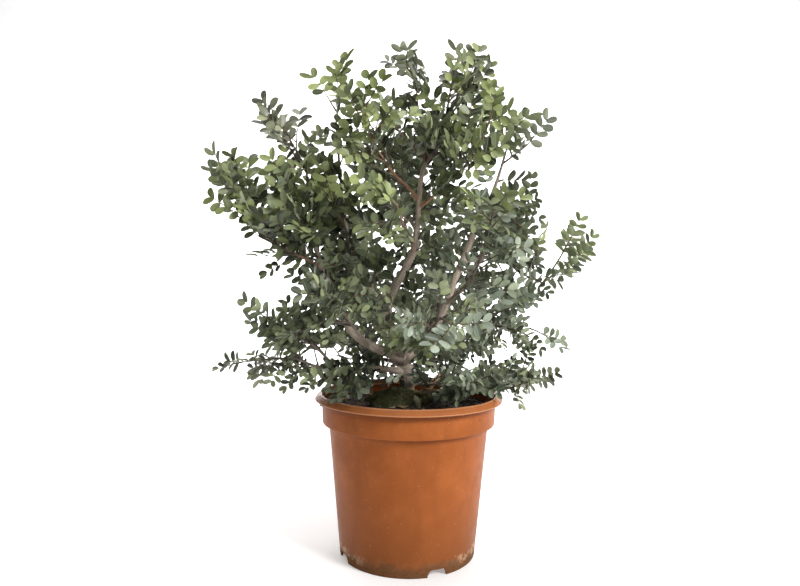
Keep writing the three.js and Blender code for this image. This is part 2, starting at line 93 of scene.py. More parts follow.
def new_piece(name, points, faces, edges=()):
    """An object whose mesh is given in millimetres."""
    mesh = bpy.data.meshes.new(name)
    mesh.from_pydata([Vector(p) * MM for p in points], edges, faces)
    mesh.update()
    piece = bpy.data.objects.new(name, mesh)
    bpy.context.scene.collection.objects.link(piece)
    return piece


def put(tree, kind, given=(), **settings):
    """Places one node. given names its inputs, each with a value or with the output that feeds it."""
    node = tree.nodes.new(kind)
    for name, value in settings.items():
        setattr(node, name, value)
    for name, value in dict(given).items():
        if isinstance(value, bpy.types.NodeSocket):
            tree.links.new(value, node.inputs[name])
        else:
            node.inputs[name].default_value = value
    return node


def maths(tree, operation, *values, clamp=False):
    given = dict(enumerate(values))
    return put(tree, "ShaderNodeMath", given, operation=operation, use_clamp=clamp).outputs[0]


def mixed(tree, share, first, second):
    """Colour that goes from first to second as share goes from 0 to 1."""
    return put(tree, "ShaderNodeMix", {0: share, 6: first, 7: second}, data_type="RGBA").outputs[2]


def laid_over(tree, under, over, share, most):
    """A colour with another laid over it, by a share from 0 to 1 of the most that it covers."""
    return mixed(tree, maths(tree, "MULTIPLY", share, most), under, over)


def fade(tree, value, low, high, to_low=0.0, to_high=1.0):
    """Smooth step: to_low where value is under low, to_high where it is over high."""
    given = {"Value": value, "From Min": low, "From Max": high, "To Min": to_low, "To Max": to_high}
    return put(tree, "ShaderNodeMapRange", given, interpolation_type="SMOOTHSTEP").outputs[0]


def band(tree, value, rise, fall):
    """1 where value lies in a band: it fades in over the span rise and out over the span fall."""
    return maths(tree, "MULTIPLY", fade(tree, value, *rise), fade(tree, value, *fall, 1.0, 0.0))


def place_on(tree):
    """The place on the piece, which a pattern is fixed to."""
    return put(tree, "ShaderNodeTexCoord").outputs["Object"]


def part_of(tree, vector, axis):
    return put(tree, "ShaderNodeSeparateXYZ", {0: vector}).outputs[axis]


def noise(tree, place, scale, detail, roughness=0.5):
    given = {"Vector": place, "Scale": scale, "Detail": detail, "Roughness": roughness}
    return put(tree, "ShaderNodeTexNoise", given).outputs[0]


def new_material(name, **sockets):
    """A material with one Principled BSDF, whose constant sockets are given by name."""
    material = bpy.data.materials.new(name)
    material.use_nodes = True
    tree = material.node_tree
    shader = tree.nodes["Principled BSDF"]
    for socket, value in sockets.items():
        shader.inputs[socket.replace("_", " ")].default_value = value
    return material, tree, shader


def roughen(tree, shader, height, distance, strength=1.0):
    """Gives a surface a fine relief, as deep as distance in metres."""
    given = {"Height": height, "Distance": distance, "Strength": strength}
    tree.links.new(put(tree, "ShaderNodeBump", given).outputs[0], shader.inputs["Normal"])


def shader_group(name, inputs, outputs):
    """An empty shader node group with float inputs and outputs, and its two end nodes."""
    tree = bpy.data.node_groups.new(name, "ShaderNodeTree")
    for label, value in inputs.items():
        tree.interface.new_socket(label, in_out="INPUT", socket_type="NodeSocketFloat").default_value = value
    for label in outputs:
        tree.interface.new_socket(label, in_out="OUTPUT", socket_type="NodeSocketFloat")
    return tree, tree.nodes.new("NodeGroupInput"), tree.nodes.new("NodeGroupOutput")


def make_mottling():
    """Soft uneven patches, as in anything that is moulded, weathered or grown."""
    tree, given, result = shader_group("mottling", {"Size": 0.01, "Contrast": 0.5}, ["Patches"])
    patches = noise(tree, place_on(tree), maths(tree, "DIVIDE", 1.0, given.outputs["Size"]), 4.0, 0.6)
    low = maths(tree, "MULTIPLY_ADD", given.outputs["Contrast"], -0.28, 0.5)
    high = maths(tree, "MULTIPLY_ADD", given.outputs["Contrast"], 0.28, 0.5)
    tree.links.new(fade(tree, patches, high, low, 1.0, 0.0), result.inputs["Patches"])
    return tree


def make_rising_stain():
    """What damp leaves near the ground: 1 under a ragged height, fading out above it."""
    inputs = {"Height": 0.01, "Raggedness": 0.005, "Softness": 0.002, "Grain": 0.01}
    tree, given, result = shader_group("rising_stain", inputs, ["Stain"])
    place = place_on(tree)
    height = part_of(tree, place, "Z")
    edge = noise(tree, place, maths(tree, "DIVIDE", 1.0, given.outputs["Grain"]), 5.0, 0.65)
    swing = maths(tree, "MULTIPLY", maths(tree, "SUBTRACT", edge, 0.5), given.outputs["Raggedness"])
    above = maths(tree, "SUBTRACT", maths(tree, "MULTIPLY_ADD", swing, 4.0, height), given.outputs["Height"])
    softness = given.outputs["Softness"]
    minus = maths(tree, "MULTIPLY", softness, -1.0)
    tree.links.new(fade(tree, above, minus, softness, 1.0, 0.0), result.inputs["Stain"])
    return tree


MOTTLING = make_mottling()
RISING_STAIN = make_rising_stain()


def from_group(tree, group, **values):
    """Places a shader group with its own values, and gives its first output."""
    return put(tree, "ShaderNodeGroup", values, node_tree=group).outputs[0]


def plastic_material():
    material, tree, shader = new_material("orange_plastic", IOR=1.46, Specular_IOR_Level=0.13)
    place = place_on(tree)
    height = part_of(tree, place, "Z")
    clouds = from_group(tree, MOTTLING, Size=0.045, Contrast=1.0)
    flow = from_group(tree, MOTTLING, Size=0.012, Contrast=0.8)
    plastic = mixed(tree, clouds, (0.325, 0.087, 0.018, 1), (0.455, 0.130, 0.032, 1))
    plastic = laid_over(tree, plastic, (0.325, 0.088, 0.018, 1), flow, 0.35)
    given = {0: place, 1: (38.0, 38.0, 6.0)}
    drawn_out = put(tree, "ShaderNodeVectorMath", given, operation="MULTIPLY").outputs[0]
    damp = fade(tree, noise(tree, drawn_out, 1.0, 4.0), 0.48, 0.72, 0.0, 0.45)
    plastic = mixed(tree, damp, plastic, (0.26, 0.073, 0.017, 1))
    # Painted shade: the plastic is painted darker towards the foot.
    plastic = mixed(tree, fade(tree, height, *PAINTED_SHADE_TOWARDS_FOOT, 0.62, 0.0), plastic, (0.20, 0.064, 0.017, 1))
    # Painted shadow: dark bands under the lip and under the collar's step, where they overhang.
    painted_shadow = maths(tree, "MULTIPLY", band(tree, height, *UNDER_LIP), 0.75)
    painted_shadow = maths(tree, "MULTIPLY_ADD", band(tree, height, *UNDER_COLLAR), 0.6, painted_shadow)
    plastic = mixed(tree, painted_shadow, plastic, (0.13, 0.030, 0.006, 1))
    # Painted highlight: the lip's crown, its lower bead and, faintly, its face are painted lighter.
    painted_lip_highlight = band(tree, height, *LIP_LOWER_EDGE)
    painted_lip_highlight = maths(tree, "ADD", painted_lip_highlight, fade(tree, height, *LIP_CROWN))
    painted_lip_highlight = maths(tree, "MULTIPLY_ADD", painted_lip_highlight, 0.3, fade(tree, height, *LIP_FACE, 0.0, 0.12))
    plastic = mixed(tree, painted_lip_highlight, plastic, (0.80, 0.42, 0.22, 1))
    scuffs = fade(tree, noise(tree, place, 420.0, 2.0), 0.70, 0.76)
    plastic = laid_over(tree, plastic, (0.72, 0.42, 0.26, 1), scuffs, 0.5)
    stain = from_group(tree, RISING_STAIN, Height=0.013, Raggedness=0.010, Softness=0.008, Grain=0.018)
    plastic = laid_over(tree, plastic, (0.130, 0.070, 0.031, 1), stain, 0.75)
    grit = maths(tree, "MULTIPLY", fade(tree, noise(tree, place, 700.0, 2.0), 0.56, 0.64), stain)
    plastic = laid_over(tree, plastic, (0.05, 0.03, 0.018, 1), grit, 0.7)
    above = from_group(tree, RISING_STAIN, Height=0.0175, Raggedness=0.010, Softness=0.0025, Grain=0.010)
    below = from_group(tree, RISING_STAIN, Height=0.0110, Raggedness=0.010, Softness=0.0040, Grain=0.010)
    lime = maths(tree, "SUBTRACT", above, below, clamp=True)
    lime = maths(tree, "MULTIPLY", lime, fade(tree, flow, 0.2, 0.8, 0.2, 0.9))
    beside = maths(tree, "ABSOLUTE", part_of(tree, place, "X"))
    lime = maths(tree, "MULTIPLY", lime, fade(tree, beside, *LIME_BESIDE, 0.05, 1.0))
    plastic = mixed(tree, lime, plastic, (0.60, 0.42, 0.26, 1))
    tree.links.new(plastic, shader.inputs["Base Color"])
    worn = maths(tree, "MULTIPLY_ADD", flow, 0.10, 0.35)
    worn = maths(tree, "ADD", worn, maths(tree, "MULTIPLY", stain, 0.4))
    worn = maths(tree, "SUBTRACT", worn, fade(tree, height, *POLISHED_LIP, 0.0, 0.12))
    tree.links.new(worn, shader.inputs["Roughness"])
    skin = maths(tree, "MULTIPLY", noise(tree, place, 900.0, 2.0), 0.35)
    roughen(tree, shader, maths(tree, "MULTIPLY_ADD", lime, 1.2, skin), 0.0002, 0.6)
    return material


def arc(centre, radius, first, last, steps):
    """Points on part of a circle, from one angle to another in degrees."""
    angles = [math.radians(first + (last - first) * i / steps) for i in range(steps + 1)]
    return [(centre[0] + radius * math.cos(a), centre[1] + radius * math.sin(a)) for a in angles]


def straight(start, end, steps):
    """Points along a straight stretch, without its last one."""
    return [tuple(start[k] + (end[k] - start[k]) * i / steps for k in (0, 1)) for i in range(steps)]


def pot_profile():
    """Half the pot's section as radii and heights, from the middle of its underside out, up, in and down."""
    under, over = POT_FLOOR
    outside = [(0, under), *straight((20, under), (82.2, under), 4)]
    outside += [(82.9, under - 0.6), *arc((84.6, 0.7), 0.7, 180, 270, 4), *arc((85.8, 0.7), 0.7, 270, 355, 4)]
    body = straight((86.6, 1.2), (101.8, 166.4), 22)
    collar = [(102.0, 167.4), (102.6, 168.1), (108.6, 168.3), *arc((109.0, 169.3), 1.0, 285, 356, 5)]
    collar += straight((110.1, 171), (110.9, 194.5), 5) + [(111.0, 195.4), (111.7, 196.6), (113.0, 197.0)]
    lip = [(117.6, 197.1), *arc((118.8, 198.25), 1.15, 280, 420, 9), (118.9, 199.7), (118.5, 200.5)]
    lip += [(117.7, 201.6), (116.6, 202.7), *arc((113.2, 202.7), 2.25, 62, 178, 9), (110.5, 200.5)]
    inside = [(109.4, 196.5), (108.9, 193), *straight((108.7, 190), (108.1, 172), 3), (107.6, 170.8)]
    inside += [(101.5, 170.4), (100.2, 169.4), *straight((99.8, 168), (86.2, 15.5), 6), (85.0, over + 0.4)]
    return outside + body + collar + lip + inside + [(83.5, over), (40, over), (0, over)]


def ringed(name, points, segments):
    """A closed shape of rings of points. The first and the last point stand alone, on the axis."""
    last = len(points) - 1
    rings = (last - 1) // segments
    faces = []
    for j in range(segments):
        k = (j + 1) % segments
        faces.append((0, 1 + k, 1 + j))
        faces.append((last, last - segments + j, last - segments + k))
        for i in range(rings - 1):
            near, far = 1 + i * segments, 1 + (i + 1) * segments
            faces.append((near + j, near + k, far + k, far + j))
    return new_piece(name, points, faces)


def ring_points(rings, segments):
    """Points on level circles, each given by its radius and height."""
    spin = [2 * math.pi * j / segments for j in range(segments)]
    return [(radius * math.cos(a), radius * math.sin(a), height) for radius, height in rings for a in spin]


def turned(name, profile, segments):
    """A closed shape turned about Z. The profile starts and ends on the axis."""
    (_, bottom), *rings, (_, top) = profile
    return ringed(name, [(0, 0, bottom), *ring_points(rings, segments), (0, 0, top)], segments)


def prism(name, outline, matrix, depth):
    """A straight block with the given outline in X and Y, placed by a matrix."""
    count = len(outline)
    points = [matrix @ Vector((x, y, z)) for z in (0, depth) for x, y in outline]
    faces = [tuple(reversed(range(count))), tuple(range(count, 2 * count))]
    faces += [(i, (i + 1) % count, count + (i + 1) % count, count + i) for i in range(count)]
    return new_piece(name, points, faces)


def settle(piece):
    """Gives a piece the mesh that its modifiers make, and removes them."""
    evaluated = piece.evaluated_get(bpy.context.evaluated_depsgraph_get())
    mesh = bpy.data.meshes.new_from_object(evaluated)
    piece.modifiers.clear()
    piece.data = mesh


def cut_away(piece, cutters):
    """Takes other pieces out of a piece, and removes them."""
    for cutter in cutters:
        cut = piece.modifiers.new("cut", "BOOLEAN")
        cut.operation = "DIFFERENCE"
        cut.solver = "EXACT"
        cut.object = cutter
    settle(piece)
    for cutter in cutters:
        bpy.data.objects.remove(cutter)


def soften(piece, sharp_over):
    """Smooth shading, but for edges sharper than an angle in degrees."""
    piece.data.shade_smooth()
    piece.data.set_sharp_from_angle(angle=math.radians(sharp_over))


pot = turned("nursery_pot", pot_profile(), POT_SEGMENTS)
cutters = []
for i in range(NOTCHES):
    around = Matrix.Rotation(NOTCH_FIRST + 2 * math.pi * i / NOTCHES, 4, "Z")
    stand = around @ Matrix.Translation((0, -NOTCH_START, 0)) @ Matrix.Rotation(math.pi / 2, 4, "X")
    cutters.append(prism("notch_cutter", NOTCH_OUTLINE, stand, NOTCH_DEPTH))
hole_outline = arc((0, 0), DRAIN_HOLE_RADIUS, 0, 345, 23)
for place in ring_points([(DRAIN_RING_RADIUS, DRAIN_CUT_START)], DRAIN_HOLES):
    cutters.append(prism("drain_cutter", hole_outline, Matrix.Translation(place), DRAIN_CUT_DEPTH))
cut_away(pot, cutters)
soften(pot, 40)
pot.data.materials.append(plastic_material())
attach(pot, "root")
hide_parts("pot")


# Potting soil
# Dark peat with bark fines, pressed in by hand and filled to just under the lip. It is slightly mounded
# round the trunk and has sunk a little from the pot's wall, with loose crumbs and chips lying on it.

SOIL_EDGE = 189.5
SOIL_MOUND = 4.0
SOIL_MOUND_REACH = 105
SOIL_BUMPS = ((1.1, 9, 1.3), (0.45, 2.6, 4.2))
SOIL_SUNK_FROM = 98
SOIL_SUNK_BY = 2.2
SOIL_UNDERSIDE = 13.9
SOIL_SIDE = [(85.6, 13.9), (99.2, 170.9), (107.2, 171.2), (107.6, 186.5)]
SOIL_RADIUS = 107.6
SOIL_RINGS = 46
SOIL_SEGMENTS = 160
LOOSE_ABOVE = 0.1855
LOOSE_WITHIN = 0.106


def uneven(x, y, size, seed):
    """Smooth noise from -1 to 1 over the ground, made of a few crossing waves."""
    total = 0.0
    for k in range(5):
        turn = 2.4 * k + seed
        wave = size * (1.0 - 0.14 * k)
        total += math.sin((x * math.cos(turn) + y * math.sin(turn)) / wave + 1.7 * seed + 3.1 * k)
    return total / 5


def soil_height(x, y):
    """Height of the soil's surface over the floor."""
    distance = math.hypot(x, y)
    height = SOIL_EDGE + SOIL_MOUND * max(0.0, 1 - distance / SOIL_MOUND_REACH)
    for depth, size, seed in SOIL_BUMPS:
        height += depth * uneven(x, y, size, seed)
    return height - SOIL_SUNK_BY * max(0.0, (distance - SOIL_SUNK_FROM) / 10) ** 2


def soil_piece():
    """The soil as it fills the pot, with an uneven top."""
    points = [(0, 0, SOIL_UNDERSIDE), *ring_points(SOIL_SIDE, SOIL_SEGMENTS)]
    top = [(SOIL_RADIUS * (1 - i / SOIL_RINGS), 0) for i in range(SOIL_RINGS)]
    points += [(x, y, soil_height(x, y)) for x, y, _ in ring_points(top, SOIL_SEGMENTS)]
    points.append((0, 0, soil_height(0, 0)))
    return ringed("potting_soil", points, SOIL_SEGMENTS)


def soil_material():
    material, tree, shader = new_material("peat", Roughness=0.95)
    clods = from_group(tree, MOTTLING, Size=0.006, Contrast=0.9)
    grit = put(tree, "ShaderNodeTexVoronoi", {"Vector": place_on(tree), "Scale": 620.0})
    peat = mixed(tree, clods, (0.016, 0.011, 0.008, 1), (0.05, 0.034, 0.022, 1))
    own = put(tree, "ShaderNodeSeparateColor", {0: grit.outputs["Color"]}).outputs[0]
    peat = laid_over(tree, peat, (0.14, 0.095, 0.055, 1), fade(tree, own, 0.86, 0.9), 0.6)
    tree.links.new(peat, shader.inputs["Base Color"])
    roughen(tree, shader, grit.outputs["Distance"], 0.0008, 0.9)
    return material


def grown(source, tree, name, **inputs):
    """The plain mesh that a Geometry Nodes tree makes of a source object, which is then removed."""
    growth = source.modifiers.new("growth", "NODES")
    growth.node_group = tree
    for item in tree.interface.items_tree:
        if item.item_type == "SOCKET" and item.in_out == "INPUT" and item.name in inputs:
            growth[item.identifier] = inputs[item.name]
    depsgraph = bpy.context.evaluated_depsgraph_get()
    evaluated = source.evaluated_get(depsgraph)
    mesh = bpy.data.meshes.new_from_object(evaluated, preserve_all_data_layers=True, depsgraph=depsgraph)
    source.modifiers.remove(growth)
    bpy.data.objects.remove(source)
    piece = bpy.data.objects.new(name, mesh)
    bpy.context.scene.collection.objects.link(piece)
    return piece


def growth_tree(name, inputs):
    """An empty Geometry Nodes tree with named inputs, given as (socket type, value) pairs."""
    tree = bpy.data.node_groups.new(name, "GeometryNodeTree")
    tree.interface.new_socket("Geometry", in_out="INPUT", socket_type="NodeSocketGeometry")
    for label, (kind, value) in inputs.items():
        socket = tree.interface.new_socket(label, in_out="INPUT", socket_type="NodeSocket" + kind)
        if value is not None:
            socket.default_value = value
    tree.interface.new_socket("Geometry", in_out="OUTPUT", socket_type="NodeSocketGeometry")
    return tree, tree.nodes.new("NodeGroupInput").outputs, tree.nodes.new("NodeGroupOutput")


def drawn(tree, low, high, seed):
    """A random number for each point, from low to high."""
    return put(tree, "FunctionNodeRandomValue", {2: low, 3: high, 8: seed}, data_type="FLOAT").outputs[1]


def vector_of(tree, **parts):
    return put(tree, "ShaderNodeCombineXYZ", parts).outputs[0]


def marked(tree, geometry, label, value, domain):
    """Notes a number on each point or copy, for a material or a later node to read."""
    given = {"Geometry": geometry, "Name": label, "Value": value}
    return put(tree, "GeometryNodeStoreNamedAttribute", given, data_type="FLOAT", domain=domain).outputs[0]


def give_out(tree, result, geometry, material):
    """Ends a tree with its material."""
    made = put(tree, "GeometryNodeSetMaterial", {"Geometry": geometry, "Material": material})
    tree.links.new(made.outputs[0], result.inputs[0])


def scatter_tree():
    """Lays copies of a small piece over the top of a surface, each turned and sized at random."""
    inputs = {
        "Piece": ("Object", None), "Density": ("Float", 1000.0), "Smallest": ("Float", 0.5),
        "Largest": ("Float", 1.0), "Tilt": ("Float", 0.4), "Sink": ("Float", 0.0), "Seed": ("Int", 0),
        "Material": ("Material", None),
    }
    tree, given, result = growth_tree("scatter", inputs)
    seed, tilt = given["Seed"], given["Tilt"]
    spot = put(tree, "GeometryNodeInputPosition").outputs[0]
    place = put(tree, "ShaderNodeSeparateXYZ", {0: spot}).outputs
    across = vector_of(tree, X=place["X"], Y=place["Y"])
    distance = put(tree, "ShaderNodeVectorMath", {0: across}, operation="LENGTH").outputs["Value"]
    high = maths(tree, "GREATER_THAN", place["Z"], LOOSE_ABOVE)
    where = maths(tree, "MULTIPLY", high, maths(tree, "LESS_THAN", distance, LOOSE_WITHIN))
    spots = put(tree, "GeometryNodeDistributePointsOnFaces", {
        "Mesh": given["Geometry"], "Selection": where, "Density": given["Density"], "Seed": seed,
    })

    def tilted(step):
        return drawn(tree, maths(tree, "MULTIPLY", tilt, -1.0), tilt, maths(tree, "ADD", seed, step))

    angles = vector_of(tree, X=tilted(2.0), Y=tilted(1.0), Z=drawn(tree, 0.0, 2 * math.pi, seed))
    rotation = put(tree, "FunctionNodeEulerToRotation", {0: angles}).outputs[0]
    size = drawn(tree, given["Smallest"], given["Largest"], maths(tree, "ADD", seed, 3.0))
    piece = put(tree, "GeometryNodeObjectInfo", {"Object": given["Piece"]}).outputs["Geometry"]
    down = vector_of(tree, Z=maths(tree, "MULTIPLY", given["Sink"], -1.0))
    lowered = put(tree, "GeometryNodeSetPosition", {"Geometry": spots.outputs["Points"], "Offset": down})
    copies = put(tree, "GeometryNodeInstanceOnPoints", {
        "Points": lowered.outputs[0], "Instance": piece, "Rotation": rotation, "Scale": size,
    }).outputs[0]
    tint = drawn(tree, 0.0, 1.0, maths(tree, "ADD", seed, 4.0))
    tinted = marked(tree, copies, "tint", tint, "INSTANCE")
    real = put(tree, "GeometryNodeRealizeInstances", {0: tinted}).outputs[0]
    give_out(tree, result, real, given["Material"])
    return tree


SCATTER = scatter_tree()


def hull_of(piece):
    """Turns a cloud of points into the closed shape that wraps it."""
    shape = bmesh.new()
    shape.from_mesh(piece.data)
    wrapped = bmesh.ops.convex_hull(shape, input=shape.verts)
    bmesh.ops.delete(shape, geom=wrapped["geom_interior"], context="VERTS")
    bmesh.ops.recalc_face_normals(shape, faces=shape.faces)
    shape.to_mesh(piece.data)
    shape.free()


def lump(name, size, uneven_by, seed):
    """A small angular crumb: a rough ball with uneven corners."""
    draw = np.random.default_rng(seed)
    corners = [(1, 0, 0), (0, 1, 0), (-1, 0, 0), (0, -1, 0), (0, 0, 0.8), (0, 0, -0.8)]
    corners += [(0.62, 0.62, 0.45), (-0.62, 0.62, -0.4), (-0.6, -0.66, 0.42), (0.64, -0.6, -0.45)]
    points = [Vector(c) * size * (1 + uneven_by * draw.uniform(-1, 1)) for c in corners]
    piece = new_piece(name, points, [])
    hull_of(piece)
    return piece


def chip(name, length, width, thickness):
    """A splinter of bark or a straw: a flat, bent, pointed sliver."""
    points = [(-length / 2, 0, 0), (length / 2, 0.2 * width, 0.1 * length)]
    for x, share in ((-0.3, 0.8), (0.0, 1.0), (0.28, 0.7)):
        for y in (-1, 1):
            for z in (-1, 1):
                points.append((x * length, y * share * width / 2, z * thickness / 2 + 0.2 * length * x * x))
    piece = new_piece(name, points, [])
    hull_of(piece)
    return piece


def noted(tree, label):
    """A number that the piece's points carry."""
    return put(tree, "ShaderNodeAttribute", attribute_name=label).outputs["Fac"]


def crumb_material(name, dark, pale):
    """Loose bits whose colour differs from one to the next."""
    material, tree, shader = new_material(name, Roughness=0.9)
    own = maths(tree, "POWER", noted(tree, "tint"), 2.2)
    speckle = from_group(tree, MOTTLING, Size=0.0016, Contrast=0.8)
    share = maths(tree, "MULTIPLY", own, maths(tree, "MULTIPLY_ADD", speckle, 0.5, 0.6))
    tree.links.new(mixed(tree, share, dark, pale), shader.inputs["Base Color"])
    roughen(tree, shader, speckle, 0.0003)
    return material


def joined(name, pieces):
    """One object made of several, which are then removed."""
    with bpy.context.temp_override(active_object=pieces[0], selected_editable_objects=pieces):
        bpy.ops.object.join()
    pieces[0].name = name
    pieces[0].data.name = name
    return pieces[0]


def scattered(surface, name, **inputs):
    """Copies of a small piece laid over a surface, as one mesh."""
    holder = surface.copy()
    bpy.context.scene.collection.objects.link(holder)
    return grown(holder, SCATTER, name, **inputs)


soil = soil_piece()
soil.data.shade_smooth()
soil.data.materials.append(soil_material())
peat_crumbs = crumb_material("peat_crumbs", (0.014, 0.010, 0.007, 1), (0.085, 0.055, 0.034, 1))
bark_chips = crumb_material("bark_chips", (0.05, 0.03, 0.018, 1), (0.28, 0.19, 0.11, 1))
crumb = lump("crumb", 1.5, 0.25, 1)
clod = lump("clod", 3.0, 0.3, 2)
splinter = chip("splinter", 11, 3.2, 1.2)
loose = [
    scattered(soil, "fine_crumbs", Piece=crumb, Density=60000.0, Smallest=0.4, Largest=1.0, Tilt=3.0,
              Sink=0.0004, Seed=11, Material=peat_crumbs),
    scattered(soil, "coarse_crumbs", Piece=clod, Density=7000.0, Smallest=0.5, Largest=1.1, Tilt=3.0,
              Sink=0.001, Seed=23, Material=peat_crumbs),
    scattered(soil, "chips", Piece=splinter, Density=4200.0, Smallest=0.35, Largest=1.1, Tilt=0.45,
              Sink=0.0002, Seed=31, Material=bark_chips),
]
for original in (crumb, clod, splinter):
    bpy.data.objects.remove(original)
crumbs = joined("loose_crumbs_and_chips", loose)
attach(soil, "root")
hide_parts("soil")
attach(crumbs, "root")


# Wood
# The trunk and limbs grew as one piece: grey-brown scaly bark with lengthwise cracks on the old wood,
# smooth red-brown bark on the young shoots, collars where limbs leave, and roots that run into the soil.

# Radii evenly spaced along each limb, and the points that its middle line runs through.
LIMBS = {
    "trunk": ([10, 15, 10, 8.2, 7.5], [
        (-3, 14, 150), (-3, 12, 193), (-2, 10, 212), (-6, 8, 235), (-13, 6, 256)]),
    "leader": ([7.5, 6.2, 5.4, 5, 3.8, 3.2, 2.4, 1.7], [
        (-13, 6, 256), (-26, 2, 295), (-28, 0, 319), (-19, -3, 340), (4, -6, 385), (8, -6, 413),
        (14, -4, 485), (27, 0, 506), (38, 4, 532), (45, 6, 566)]),
    "right_limb": ([7, 5.6, 5, 3, 1.8], [
        (-9, 8, 245), (15, 25, 263), (36, 38, 289), (50, 44, 318), (61, 48, 348), (82, 52, 400),
        (93, 54, 424), (106, 56, 453), (119, 58, 487), (131, 60, 528)]),
    "left_limb": ([6.5, 5.6, 4.2, 2.8, 1.7], [
        (-9, 6, 245), (-27, -6, 256), (-48, -18, 266), (-71, -28, 284), (-81, -34, 304), (-91, -38, 324),
        (-102, -40, 349), (-113, -42, 379), (-122, -44, 415), (-127, -46, 479)]),
    "left_middle": ([4, 2.6, 1.5], [
        (-24, -1, 326), (-40, -12, 329), (-55, -22, 341), (-69, -28, 359), (-75, -30, 386), (-84, -30, 440),
        (-94, -26, 541)]),
    "left_long": ([2.4, 1.3], [
        (-107, -41, 358), (-119, -50, 370), (-133, -56, 377), (-150, -60, 385), (-167, -64, 394)]),
    "red_shoot": ([2.3, 1.3], [
        (9, -5, 451), (-4, -18, 466), (-16, -26, 475), (-29, -32, 490), (-46, -40, 516), (-55, -46, 541)]),
    "pink_shoot": ([2.4, 1.3], [
        (12, -5, 443), (28, -20, 455), (43, -32, 468), (63, -42, 487), (79, -48, 507)]),
    "top_shoot": ([2.1, 1.2], [(24, -1, 502), (17, 12, 524), (13, 18, 552), (8, 20, 579), (5, 20, 608)]),
    "top_left": ([1.9, 1.3], [(22, -2, 498), (6, 14, 518), (-12, 24, 540), (-29, 30, 563)]),
    "right_low": ([3, 1.5], [(43, 41, 306), (69, 42, 301), (95, 36, 294), (121, 28, 288), (144, 24, 283)]),
    "right_branch": ([3, 1.5], [
        (73, 50, 374), (99, 54, 381), (130, 52, 375), (157, 46, 357), (179, 38, 347)]),
    "right_upper": ([2.4, 1.4], [(93, 54, 424), (111, 50, 429), (131, 44, 437), (147, 38, 444)]),
    "low_left": ([4.5, 3, 1.6], [
        (-6, 8, 229), (-27, -8, 235), (-59, -22, 238), (-88, -34, 238), (-115, -42, 243), (-138, -48, 253)]),
    "low_left_rise": ([2.4, 1.5], [(-91, -35, 239), (-107, -48, 260), (-125, -58, 276)]),
    "low_right": ([3.6, 2.4, 1.3], [
        (-2, 10, 216), (28, 8, 214), (64, 0, 213), (94, -8, 212), (120, -14, 212), (143, -18, 220)]),
    "stub": ([3, 1.9], [(2, 6, 204), (20, -8, 205), (28, -14, 213), (39, -18, 231)]),
    "front_low": ([3.6, 1.5], [
        (-10, 5, 249), (-2, -24, 267), (10, -55, 280), (23, -85, 292), (33, -110, 308)]),
    "front_left": ([3, 1.4], [(-51, -19, 267), (-58, -48, 279), (-70, -80, 300), (-80, -105, 323)]),
    "front_upper": ([2.6, 1.4], [(4, -6, 385), (2, -35, 399), (-9, -65, 415), (-17, -90, 436)]),
    "front_right": ([3, 1.4], [
        (50, 44, 318), (68, 10, 337), (80, -25, 360), (88, -55, 387), (92, -75, 415)]),
    "back_middle": ([5, 3, 1.6], [
        (-8, 9, 242), (5, 45, 251), (16, 85, 271), (24, 120, 312), (29, 145, 364), (32, 160, 417)]),
    "back_left": ([4.4, 2.8, 1.5], [
        (-13, 7, 256), (-32, 45, 274), (-58, 85, 303), (-78, 115, 348), (-95, 135, 399)]),
    "back_right": ([3.6, 1.5], [(50, 44, 318), (75, 80, 343), (100, 110, 379), (120, 130, 427)]),
    "back_upper": ([3, 1.5], [(8, -6, 413), (-3, 30, 435), (-14, 62, 472), (-20, 85, 517)]),
    "back_low_left": ([3.2, 1.5], [(-6, 9, 232), (-22, 50, 237), (-52, 90, 241), (-85, 120, 252)]),
    "back_low_right": ([3.2, 1.5], [(-5, 10, 234), (27, 55, 237), (67, 95, 246), (103, 120, 264)]),
    "root_left": ([9, 7, 3], [(-3, 11, 200), (-26, -2, 196), (-50, -16, 186)]),
    "root_front": ([7, 5, 2.5], [(0, 8, 199), (10, -20, 194), (14, -44, 184)]),
    "root_right": ([7, 5, 2.5], [(0, 12, 200), (26, 14, 195), (48, 20, 184)]),
    "root_back": ([8, 5, 2.5], [(-4, 14, 200), (-14, 38, 195), (-18, 60, 184)]),
}
YOUNG_BARK = {
    "red_shoot": 1.0, "pink_shoot": 0.9, "top_shoot": 0.6, "top_left": 0.5, "left_long": 0.5,
    "front_upper": 0.4,
}
DEAD_WOOD = {"stub": 1.0}
LIMB_STEP = 4.0
LINE_PARTS = 200
KNOT_SWELL = 0.05
KNOT_SPACING = (7.3, 17)
COLLAR_SWELL = 0.45
COLLAR_REACH = 9.0
WOOD_VOXEL = 1.2
WOOD_SMOOTHINGS = 4
TUBE_SIDES = 14
THIN_TO_THICK = (0.0015, 0.008)
RELIEF_ON_THIN = 0.12
MOSSY_UP_TO = 0.209


def limb_place(path, share):
    """Place on a limb's line, which runs smoothly through its points."""
    along = share * (len(path) - 1)
    i = min(int(along), len(path) - 2)
    t = along - i
    start, end = Vector(path[i]), Vector(path[i + 1])
    before = Vector(path[i - 1]) if i > 0 else 2 * start - end
    after = Vector(path[i + 2]) if i + 2 < len(path) else 2 * end - start
    leave, arrive = (end - before) / 2, (after - start) / 2
    bend = 3 * (end - start) - 2 * leave - arrive
    twist = 2 * (start - end) + leave + arrive
    return start + leave * t + bend * t * t + twist * t ** 3


def limb_radius(radii, share):
    along = share * (len(radii) - 1)
    i = min(int(along), len(radii) - 2)
    return radii[i] + (radii[i + 1] - radii[i]) * (along - i)


